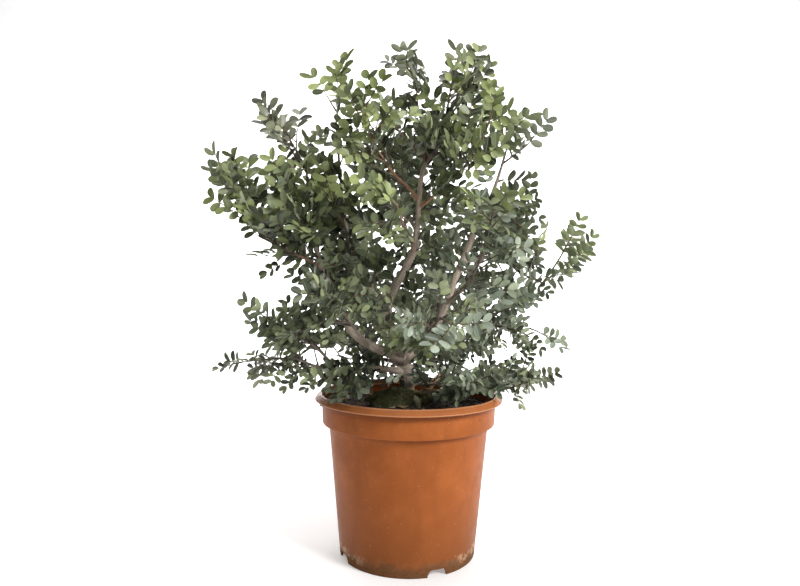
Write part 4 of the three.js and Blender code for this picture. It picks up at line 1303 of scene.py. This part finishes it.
def twig_material():
    material, tree, shader = new_material("green_twig", Roughness=0.6)
    patches = from_group(tree, MOTTLING, Size=0.005, Contrast=0.9)
    grey = mixed(tree, patches, (0.060, 0.048, 0.042, 1), (0.135, 0.110, 0.090, 1))
    lit = mixed(tree, patches, (0.190, 0.105, 0.055, 1), (0.260, 0.235, 0.110, 1))
    bark = mixed(tree, fade(tree, noted(tree, "tone"), 0.3, 0.9), grey, lit)
    tree.links.new(bark, shader.inputs["Base Color"])
    roughen(tree, shader, patches, 0.0002)
    return material


flat_leaflet = leaflet("flat_leaflet", 7, 0.22, 0.06)
cupped_leaflet = leaflet("cupped_leaflet", 7, 0.44, 0.11)
LEAF = leaf_tree("leaf", (flat_leaflet, cupped_leaflet))
PAIR_COUNTS = (3, 4)
SWAYS = (-4.0, -2.0, 0.5, 2.2, 4.2)
leaf_shapes = []
for pairs in PAIR_COUNTS:
    for shape, sway in enumerate(SWAYS):
        holder = new_piece("leaf_holder", [(0, 0, 0)], [])
        name = f"leaf_{pairs}_pairs_{shape}"
        leaf_shapes.append(grown(holder, LEAF, name, Pairs=pairs, Seed=40 * shape + pairs, Sway=sway))
SPRAY = spray_tree(leaf_shapes)
leaf_green = leaf_material()
twig_brown = twig_material()
RIM_REACH = (98, 124)
RIM_HEIGHT = 207
RIM_CLEARANCE = 9
LEAST_HEIGHT_IN_POT = 196
SHOWN_TO = Vector((-12, -850, 356))
# The part of each limb that the grower keeps free of leaves, as two shares of its length.
BARE_STRETCHES = {
    "leader": (0.32, 0.84), "right_limb": (0.22, 0.62), "red_shoot": (0.05, 0.7), "left_limb": (0.08, 0.42),
    "pink_shoot": (0.02, 0.3), "trunk": (0.42, 1.0), "stub": (0.3, 1.0),
}
BARE_SPOTS_EACH = 25
BARE_MARGIN = 8
BARE_IN_FRONT = 2
# The gaps in the crown as seen from the front: how far across and up each lies, and its radius.
OPENINGS = [
    (-18, 602, 16), (-4, 538, 8), (125, 598, 14), (168, 530, 11), (166, 556, 10), (-208, 392, 15),
    (-127, 252, 11), (-101, 254, 11), (-60, 250, 7), (180, 380, 11), (-26, 205, 16), (-42, 203, 10),
    (31, 220, 10), (30, 611, 12), (1, 566, 6), (-45, 551, 7), (131, 531, 8), (148, 489, 12), (89, 362, 8),
    (166, 299, 9), (193, 298, 8), (176, 214, 10), (116, 282, 8), (-125, 244, 8), (-246, 430, 8),
    (-184, 326, 8), (232, 383, 9), (184, 378, 9), (234, 369, 8), (178, 406, 8), (33, 590, 8), (-25, 577, 6),
    (90, 546, 5), (-109, 572, 8), (-223, 419, 9), (171, 446, 8), (-180, 313, 6), (-221, 210, 8),
    (-137, 185, 8), (223, 340, 8), (193, 336, 8),
]
BEYOND_SOLIDS = 5
LEAF_REACH = 46
LEAF_END = 52
LEAF_OVER_RIM = 50
LIVING_STEPS = 40
LIVING_WITHIN = 0.02


def seen_at(spot):
    """Where a place lies, across and up, for someone who looks at the tree from its front."""
    sight = spot - SHOWN_TO
    return SHOWN_TO.x - sight.x * SHOWN_TO.y / sight.y, SHOWN_TO.z - sight.z * SHOWN_TO.y / sight.y


bare_spots = []
for name, (first, last) in BARE_STRETCHES.items():
    for i in range(BARE_SPOTS_EACH):
        spot = limb_place(LIMBS[name][1], first + (last - first) * i / (BARE_SPOTS_EACH - 1))
        bare_spots.append((*seen_at(spot), spot.y))


def spots_on_leaf(root, aim, size):
    """Three places along a leaf's rib."""
    return [root + aim * far * LEAF_REACH * size for far in (0.25, 0.6, 0.95)]


def hides_limb(leaf_spots):
    """Whether a leaf stands in front of a limb that the grower has cleared to show its line."""
    for spot in leaf_spots:
        x, z = seen_at(spot)
        for bare_x, bare_z, depth in bare_spots:
            if spot.y < depth - BARE_IN_FRONT and math.hypot(x - bare_x, z - bare_z) < BARE_MARGIN:
                return True
    return False


def fills_gap(leaf_spots):
    """Whether a leaf would close one of the gaps through which the backdrop, or the moss, shows."""
    for spot in leaf_spots:
        x, z = seen_at(spot)
        if any(math.hypot(x - gap_x, z - gap_z) < radius for gap_x, gap_z, radius in OPENINGS):
            return True
    return False


def inside_solids(root, aim, size):
    """Whether a leaf ends within the reach of the tree's solids."""
    end = root + aim * LEAF_END * size
    low, high = cad_box
    return all(low[k] / MM - BEYOND_SOLIDS < end[k] < high[k] / MM + BEYOND_SOLIDS for k in range(3))


def clears_pot(root, aim, size):
    """Whether a leaf stays over the pot's lip, or clear of it."""
    for far in (0.3, 0.7, 1.0):
        spot = root + aim * far * LEAF_OVER_RIM * size
        distance = math.hypot(spot.x, spot.y)
        if RIM_REACH[0] < distance < RIM_REACH[1] and spot.z < RIM_HEIGHT + RIM_CLEARANCE * size:
            return False
        if distance <= RIM_REACH[0] and spot.z < LEAST_HEIGHT_IN_POT:
            return False
    return True


def living_share(twig, starts):
    """How far along a twig something still grows from it: it has died back beyond that."""
    near = LIVING_WITHIN * twig.length
    living = 0
    for i in range(LIVING_STEPS + 1):
        if any((twig.place(i / LIVING_STEPS) - start).length < near for start in starts):
            living = i / LIVING_STEPS
    return living


def seedling_of(twigs, leaves, look, fancy):
    """The lines of some twigs and the points of their leaves, with what the tree needs to know of each."""
    points, edges, rows = [], [], []
    starts = [leaf[0] for leaf in leaves]
    for order, twig in reversed(list(enumerate(twigs))):
        living = living_share(twig, starts)
        if living == 0:
            continue
        starts.append(twig.root)
        steps = max(4, round(living * twig.length / TWIG_STEP))
        first = len(points)
        for i in range(steps + 1):
            share = living * i / steps
            radius = (TWIG_ROOT_RADIUS - SIDE_TWIG_THINNER * (order > 0)) * (1 - share)
            radius += TWIG_TIP_RADIUS * share
            points.append(twig.place(share))
            rows.append((radius * MM, UP, UP, 1.0, -1, look["tone"], 0.0, 0.0))
        edges += [(i, i + 1) for i in range(first, len(points) - 1)]
    for root, aim, face, size, pairs in leaves:
        variant = PAIR_COUNTS.index(pairs) * len(SWAYS) + int(fancy.integers(len(SWAYS)))
        points.append(root)
        rows.append((0.0, aim, face, size, variant, *leaf_colouring(root, look, fancy)))
    seedling = new_piece("seedling", points, [], edges)
    kinds = (("radius", "FLOAT"), ("aim", "FLOAT_VECTOR"), ("face", "FLOAT_VECTOR"), ("size", "FLOAT"),
             ("variant", "INT"), ("tone", "FLOAT"), ("blush", "FLOAT"), ("bloom_and_sheen", "FLOAT"))
    for column, (label, kind) in enumerate(kinds):
        values = np.array([row[column] for row in rows], dtype=int if kind == "INT" else float)
        store = seedling.data.attributes.new(label, kind, "POINT").data
        store.foreach_set("vector" if kind == "FLOAT_VECTOR" else "value", values.ravel())
    return seedling


def leafy_piece(name, twigs, leaves, look, fancy):
    """A finished piece of twigs and leaves that rides with the tree."""
    clear = []
    for leaf in leaves:
        root, aim, _, size, _ = leaf
        leaf_spots = spots_on_leaf(root, aim, size)
        in_the_way = hides_limb(leaf_spots) or fills_gap(leaf_spots)
        if clears_pot(root, aim, size) and inside_solids(root, aim, size) and not in_the_way:
            clear.append(leaf)
    materials = {"Leaf material": leaf_green, "Twig material": twig_brown}
    piece = grown(seedling_of(twigs, clear, look, fancy), SPRAY, name, Sides=TWIG_SIDES, **materials)
    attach(piece, "root")
    return piece


look_of = {number: look for look, numbers in LOOK_OF.items() for number in numbers}
for number, spray in enumerate(SPRAYS, 1):
    draw = seeded_draw(number)
    twigs = twigs_of(spray, draw)
    leaves = [leaf for twig in twigs for leaf in leaves_of(twig, draw)]
    look = LOOKS[look_of.get(number, "shaded")]
    piece = leafy_piece(f"leafy_spray_{number:02d}", twigs, leaves, look, np.random.default_rng(number))
    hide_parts(f"spray_{number:02d}")


# Inner shoots
# Short leafy shoots that break from the old wood all along the limbs and fill the crown between the
# sprays. They are too fine for solids of their own, and their leaves are small and mostly in shade.

# Millimetres between two shoots where the leaves are full-sized, and the shortest and longest shoot.
INNER_SPACING = 14
INNER_LENGTH = (36, 80)
INNER_TURN = 2.4
INNER_LEANS = (0.55, 1.15)
INNER_RISE = 0.25
INNER_LEAF_SIZE = 0.9
INNER_FIRST = 0.12
INNER_LAST = {"right_limb": 0.78, "leader": 0.86, "left_limb": 0.9}
GREEN_ABOVE = 430
BLUISH_RIGHT_OF = 20
NO_SHOOTS = ("trunk", "stub", "root_left", "root_front", "root_right", "root_back")


def inner_look(root):
    """Leaves in the crown are dull green, greyer low on the left and bluish low on the right."""
    if root.z > GREEN_ABOVE:
        return LOOKS["green"]
    return LOOKS["bluish" if root.x > BLUISH_RIGHT_OF else "shaded"]


def inner_shoots(name, number):
    """Twigs and leaves that break from one limb, each turned on from the one before."""
    radii, path = LIMBS[name]
    draw = seeded_draw(100 + number)
    total = sum((Vector(b) - Vector(a)).length for a, b in zip(path, path[1:]))
    middle = limb_place(path, 0.5)
    last = INNER_LAST.get(name, 0.98)
    count = max(2, int(total / (INNER_SPACING * leaf_size_at(middle.z))))
    twigs, leaves = [], []
    for i in range(count):
        share = INNER_FIRST + (last - INNER_FIRST) * (i + between(draw, 0.2, 0.8)) / count
        root = limb_place(path, share)
        along = (limb_place(path, min(share + 0.02, 1)) - limb_place(path, share - 0.02)).normalized()
        across = along.cross(UP).normalized() if abs(along.z) < 0.95 else Vector((1, 0, 0))
        above = across.cross(along)
        turn = INNER_TURN * i + between(draw, -0.5, 0.5)
        lean = between(draw, *INNER_LEANS)
        beside = across * math.cos(turn) + above * math.sin(turn)
        heading = along * math.cos(lean) + beside * math.sin(lean)
        heading.z += INNER_RISE
        reach = between(draw, *INNER_LENGTH)
        twig = Twig(root, inside_crown(root + heading.normalized() * reach), draw)
        twigs.append(twig)
        for root, aim, face, size, pairs in leaves_of(twig, draw):
            leaves.append((root, aim, face, size * INNER_LEAF_SIZE, pairs))
    return twigs, leaves, inner_look(middle)


for number, name in enumerate(LIMBS):
    if name not in NO_SHOOTS:
        twigs, leaves, look = inner_shoots(name, number)
        leafy_piece(f"inner_shoots_{name}", twigs, leaves, look, np.random.default_rng(100 + number))


# Filling shoots
# More of the fine shoots, here one by one: those that droop over the pot's rim and the soil, and those
# that close the crown between the long sprays. Each breaks from a limb at a share of its length.

FILLING_SHOOTS = {
    "bluish": [
        ("low_left", 0.5, (-84, -104, 212)), ("low_left", 0.78, (-138, -42, 210)),
        ("low_left", 0.3, (-46, -76, 208)), ("low_left", 0.4, (-86, -40, 205)),
        ("trunk", 0.6, (-34, -62, 206)), ("trunk", 0.6, (26, -70, 206)),
        ("low_right", 0.3, (60, -66, 209)), ("low_right", 0.55, (92, -48, 226)),
        ("low_right", 0.15, (46, -46, 204)), ("trunk", 0.65, (-70, -10, 212)),
        ("trunk", 0.62, (20, 75, 212)), ("trunk", 0.62, (-42, 62, 210)), ("trunk", 0.62, (62, 52, 212)),
    ],
    "shaded": [
        ("low_left_rise", 0.9, (-152, -70, 326)), ("low_left_rise", 1, (-188, -78, 296)),
        ("left_limb", 0.42, (-142, -60, 318)), ("low_left", 0.25, (-58, -56, 232)),
        ("low_left", 1, (-199, -50, 231)), ("low_left", 0.9, (-156, -44, 213)),
        ("low_left", 0.9, (-178, -60, 290)), ("low_right", 0.66, (126, -44, 256)),
        ("right_low", 0.85, (152, -14, 262)), ("right_low", 0.7, (120, -20, 262)),
        ("low_right", 0.8, (150, -40, 250)), ("right_upper", 0.5, (164, 26, 418)),
        ("right_upper", 0.6, (168, 10, 408)), ("left_long", 0.5, (-183, -60, 355)),
        ("low_left_rise", 0.5, (-153, -52, 333)), ("right_low", 1, (182, 18, 265)),
        ("right_low", 1, (170, 6, 297)), ("low_right", 0.45, (79, -50, 240)),
        ("low_right", 0.9, (136, -34, 201)),
    ],
    "dusky": [
        ("top_shoot", 1, (22, 14, 656)), ("top_shoot", 0.9, (-10, 24, 658)), ("leader", 1, (60, -4, 655)),
        ("left_limb", 1, (-180, -46, 578)), ("left_long", 1, (-246, -52, 504)),
    ],
    "green": [
        ("left_long", 0.9, (-192, -52, 478)), ("left_long", 0.7, (-166, -66, 452)),
        ("left_limb", 0.86, (-162, -34, 522)), ("left_limb", 0.84, (-116, -92, 476)),
        ("left_limb", 0.8, (-146, -84, 470)), ("left_middle", 0.7, (-112, -80, 500)),
        ("pink_shoot", 0.45, (70, -66, 464)), ("pink_shoot", 0.3, (52, -72, 448)),
        ("pink_shoot", 0.9, (84, -20, 572)), ("leader", 0.9, (88, -12, 566)),
        ("pink_shoot", 0.8, (70, -44, 576)), ("leader", 0.85, (62, -16, 560)),
        ("leader", 0.95, (96, 2, 586)), ("pink_shoot", 0.1, (34, -58, 478)),
        ("leader", 0.98, (96, -4, 653)), ("leader", 0.9, (110, 0, 636)),
        ("right_limb", 1, (128, 40, 640)), ("left_long", 0.95, (-222, -54, 512)),
        ("left_limb", 1, (-126, -60, 506)), ("left_middle", 0.85, (-108, -50, 505)),
        ("left_limb", 0.8, (-76, -52, 468)), ("left_middle", 0.6, (-63, -52, 427)),
        ("left_middle", 0.3, (-28, -50, 391)), ("left_middle", 0.7, (-132, -34, 510)),
        ("left_limb", 0.85, (-101, -52, 480)), ("pink_shoot", 0.3, (84, -20, 452)),
        ("left_limb", 0.9, (-178, -44, 484)),
    ],
    "sunlit": [
        ("right_branch", 1, (238, 34, 446)), ("left_long", 1, (-214, -70, 460)),
        ("left_middle", 1, (-84, -32, 634)), ("left_long", 0.9, (-247, -62, 454)),
    ],
}

for number, (look_name, shoots) in enumerate(FILLING_SHOOTS.items()):
    draw = seeded_draw(200 + number)
    twigs = [Twig(limb_place(LIMBS[limb][1], share), Vector(end), draw) for limb, share, end in shoots]
    leaves = [leaf for twig in twigs for leaf in leaves_of(twig, draw)]
    name = f"filling_shoots_{look_name}"
    leafy_piece(name, twigs, leaves, LOOKS[look_name], np.random.default_rng(200 + number))


# Moss and litter
# A cushion of olive moss has crept over the roots at the trunk's foot. On it and on the soil lie dropped
# leaflets gone brown and bits of dry straw, and a few dead rust-brown twigs hang under the stub.

MOSS_MIDDLE = (-15, 0)
MOSS_REACH = (45, 36)
MOSS_HEIGHT = 16
MOSS_UNDERSIDE = 180
MOSS_RINGS = 22
MOSS_SEGMENTS = 72
DEAD_TWIG_RADIUS = 0.75
DEAD_TWIG_TAPER = 0.4
DEAD_TWIG_BOW = Vector((2, -2, -3))
DEAD_TWIGS = [
    ((32, -16, 220), (20, -22, 238)), ((33, -16, 222), (26, -30, 243)), ((30, -15, 217), (12, -14, 229)),
    ((34, -17, 224), (34, -28, 246)), ((31, -15, 218), (16, -30, 226)), ((35, -17, 226), (48, -24, 244)),
    ((33, -16, 221), (44, -32, 232)), ((29, -14, 215), (14, -24, 216)),
]


def moss_piece():
    """A low uneven mound, closed underneath."""
    points = [(*MOSS_MIDDLE, soil_height(*MOSS_MIDDLE) + MOSS_HEIGHT)]
    for i in range(1, MOSS_RINGS + 1):
        share = i / MOSS_RINGS
        for j in range(MOSS_SEGMENTS):
            angle = 2 * math.pi * j / MOSS_SEGMENTS
            ragged = share * (1 + 0.16 * math.sin(3 * angle + 0.8) + 0.07 * math.sin(7 * angle))
            x = MOSS_MIDDLE[0] + MOSS_REACH[0] * ragged * math.cos(angle)
            y = MOSS_MIDDLE[1] + MOSS_REACH[1] * ragged * math.sin(angle)
            lift = MOSS_HEIGHT * (1 - share * share) ** 1.3 * (1 + 0.16 * uneven(x, y, 5, 2.7))
            points.append((x, y, soil_height(x, y) + lift - 3 * share ** 6))
    points.append((*MOSS_MIDDLE, MOSS_UNDERSIDE))
    last = len(points) - 1
    faces = []
    for j in range(MOSS_SEGMENTS):
        k = (j + 1) % MOSS_SEGMENTS
        faces.append((0, 1 + j, 1 + k))
        faces.append((last, last - MOSS_SEGMENTS + k, last - MOSS_SEGMENTS + j))
        for i in range(MOSS_RINGS - 1):
            near, far = 1 + i * MOSS_SEGMENTS, 1 + (i + 1) * MOSS_SEGMENTS
            faces.append((near + j, far + j, far + k, near + k))
    return new_piece("moss_cushion", points, faces)


def moss_material():
    material, tree, shader = new_material("moss", Roughness=0.95)
    patches = from_group(tree, MOTTLING, Size=0.009, Contrast=0.8)
    fine = from_group(tree, MOTTLING, Size=0.0013, Contrast=0.7)
    moss = mixed(tree, patches, (0.028, 0.034, 0.012, 1), (0.10, 0.105, 0.035, 1))
    moss = laid_over(tree, moss, (0.16, 0.16, 0.06, 1), fine, 0.5)
    tree.links.new(moss, shader.inputs["Base Color"])
    roughen(tree, shader, fine, 0.0008)
    return material


def tuft(name, blades, height, spread):
    """A few pointed slips that fan out from one spot, each a closed pyramid."""
    points, faces = [], []
    for i in range(blades):
        angle = 2 * math.pi * i / blades
        out = Vector((math.cos(angle), math.sin(angle), 0))
        side = Vector((-out.y, out.x, 0)) * 0.22 * height
        tip = out * spread * (0.6 + 0.4 * (i % 2)) + Vector((0, 0, height * (1 - 0.25 * (i % 3))))
        first = len(points)
        points += [-side, side, out * 0.3 * height, tip]
        faces += [(first, first + 1, first + 2), (first + 1, first, first + 3)]
        faces += [(first + 2, first + 1, first + 3), (first, first + 2, first + 3)]
    piece = new_piece(name, points, faces)
    shape = bmesh.new()
    shape.from_mesh(piece.data)
    bmesh.ops.recalc_face_normals(shape, faces=shape.faces)
    shape.to_mesh(piece.data)
    shape.free()
    return piece


moss = moss_piece()
moss.data.shade_smooth()
moss_green = moss_material()
moss.data.materials.append(moss_green)
moss_tuft = tuft("moss_tuft", 6, 2.4, 1.6)
straw = chip("straw", 24, 0.9, 0.6)
dry_leaf = crumb_material("dry_leaflets", (0.07, 0.045, 0.025, 1), (0.36, 0.24, 0.11, 1))
dry_straw = crumb_material("dry_straw", (0.24, 0.17, 0.10, 1), (0.60, 0.50, 0.34, 1))
tufts = scattered(moss, "moss_tufts", Piece=moss_tuft, Density=260000.0, Smallest=0.6, Largest=1.3,
                  Tilt=0.6, Sink=0.0004, Seed=41, Material=moss_green)
litter = [
    scattered(soil, "dropped_leaflets", Piece=flat_leaflet, Density=1500.0, Smallest=0.5, Largest=0.9,
              Tilt=0.5, Sink=-0.0009, Seed=53, Material=dry_leaf),
    scattered(moss, "leaflets_on_moss", Piece=flat_leaflet, Density=1500.0, Smallest=0.5, Largest=0.8,
              Tilt=0.5, Sink=-0.0009, Seed=59, Material=dry_leaf),
    scattered(soil, "straw_on_soil", Piece=straw, Density=900.0, Smallest=0.4, Largest=1.0,
              Tilt=0.25, Sink=-0.0006, Seed=61, Material=dry_straw),
]
dead_lines = []
for start, end in DEAD_TWIGS:
    start, end = Vector(start), Vector(end)
    dead_lines.append([
        (start.lerp(end, t) + DEAD_TWIG_BOW * 4 * t * (1 - t), DEAD_TWIG_RADIUS - DEAD_TWIG_TAPER * t)
        for t in (0, 0.25, 0.5, 0.75, 1)
    ])
rusty = crumb_material("dead_twigs", (0.16, 0.075, 0.03, 1), (0.40, 0.22, 0.10, 1))
dead_twigs = grown(line_network("dead_twig_lines", dead_lines), TUBES, "dead_twigs", Sides=6, Material=rusty)
fallen = joined("litter", litter)
for piece, slot in ((moss, "soil"), (tufts, "soil"), (fallen, "soil"), (dead_twigs, "bark")):
    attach(piece, "root")
for original in (flat_leaflet, cupped_leaflet, *leaf_shapes, moss_tuft, straw):
    bpy.data.objects.remove(original)


# Floor, light and camera
# A plain pale floor that runs up into a backdrop, soft studio light from the upper right, and a camera
# at the height of the crown, a little over arm's length in front.

FOCAL_LENGTH = 29.745
CAMERA_PLACE = (-0.0125, -0.850, 0.356)
CAMERA_DOWN = math.radians(1.58)
CAMERA_ROLL = 0.0105
# Where each lamp stands, the point that it looks at, the side of its soft box and its power in watts.
LAMPS = {
    "key_lamp": ((1.45, -1.25, 1.35), (0, 0, 0.3), 0.7, 46),
    "top_lamp": ((-0.3, 0.1, 2.4), (0, 0, 0.4), 1.8, 38),
    "backdrop_lamp": ((0.0, 1.2, 0.9), (0, 2.2, 0.9), 1.5, 40),
}
SURROUND_LIGHT = 0.02
SURROUND_SEEN = 0.9
BACKDROP_GLOW = 0.33
BACKDROP_GLOWS_OVER = (-0.6, -0.1)


def backdrop_piece():
    """A floor that curves up behind into a wall."""
    front, back, bend, top, half = -3000, 2200, 900, 3200, 4200
    line = [(front, 0), (back - bend, 0)]
    line += [(y, z + bend) for y, z in arc((back - bend, 0), bend, -90, 0, 16)[1:]] + [(back, top)]
    points = [(x, y, z) for y, z in line for x in (-half, half)]
    faces = [(2 * i, 2 * i + 1, 2 * i + 3, 2 * i + 2) for i in range(len(line) - 1)]
    return new_piece("backdrop", points, faces)


def backdrop_material():
    material, tree, shader = new_material("pale_paper", Roughness=0.9)
    shader.inputs["Emission Color"].default_value = (1, 1, 1, 1)
    depth = part_of(tree, place_on(tree), "Y")
    glow = fade(tree, depth, *BACKDROP_GLOWS_OVER, 0.0, BACKDROP_GLOW)
    tree.links.new(glow, shader.inputs["Emission Strength"])
    fibres = put(tree, "ShaderNodeTexNoise", {"Scale": 14.0, "Detail": 3.0}).outputs[0]
    paper = mixed(tree, fibres, (0.90, 0.90, 0.895, 1), (0.92, 0.92, 0.92, 1))
    tree.links.new(paper, shader.inputs["Base Color"])
    return material


def soft_lamp(name, place, target, size, power):
    """A square soft box that looks at a point."""
    lamp = bpy.data.lights.new(name, "AREA")
    lamp.size = size
    lamp.energy = power
    box = bpy.data.objects.new(name, lamp)
    box.location = place
    box.rotation_euler = (Vector(target) - Vector(place)).to_track_quat("-Z", "Y").to_euler()
    bpy.context.scene.collection.objects.link(box)


backdrop = backdrop_piece()
backdrop.data.shade_smooth()
backdrop.data.materials.append(backdrop_material())
for name, lamp in LAMPS.items():
    soft_lamp(name, *lamp)
world = bpy.data.worlds.new("studio")
world.use_nodes = True
surround = world.node_tree.nodes["Background"]
surround.inputs["Color"].default_value = (1, 1, 1, 1)
looked_at = put(world.node_tree, "ShaderNodeLightPath").outputs["Is Camera Ray"]
strength = fade(world.node_tree, looked_at, 0.0, 1.0, SURROUND_LIGHT, SURROUND_SEEN)
world.node_tree.links.new(strength, surround.inputs["Strength"])
bpy.context.scene.world = world
bpy.context.scene.view_settings.view_transform = "Standard"

lens = bpy.data.cameras.new("camera")
lens.lens = FOCAL_LENGTH
lens.clip_start = 0.01
camera = bpy.data.objects.new("camera", lens)
turn = Matrix.Rotation(math.pi / 2 - CAMERA_DOWN, 4, "X") @ Matrix.Rotation(CAMERA_ROLL, 4, "Z")
camera.matrix_world = Matrix.Translation(CAMERA_PLACE) @ turn
bpy.context.scene.collection.objects.link(camera)
bpy.context.scene.camera = camera
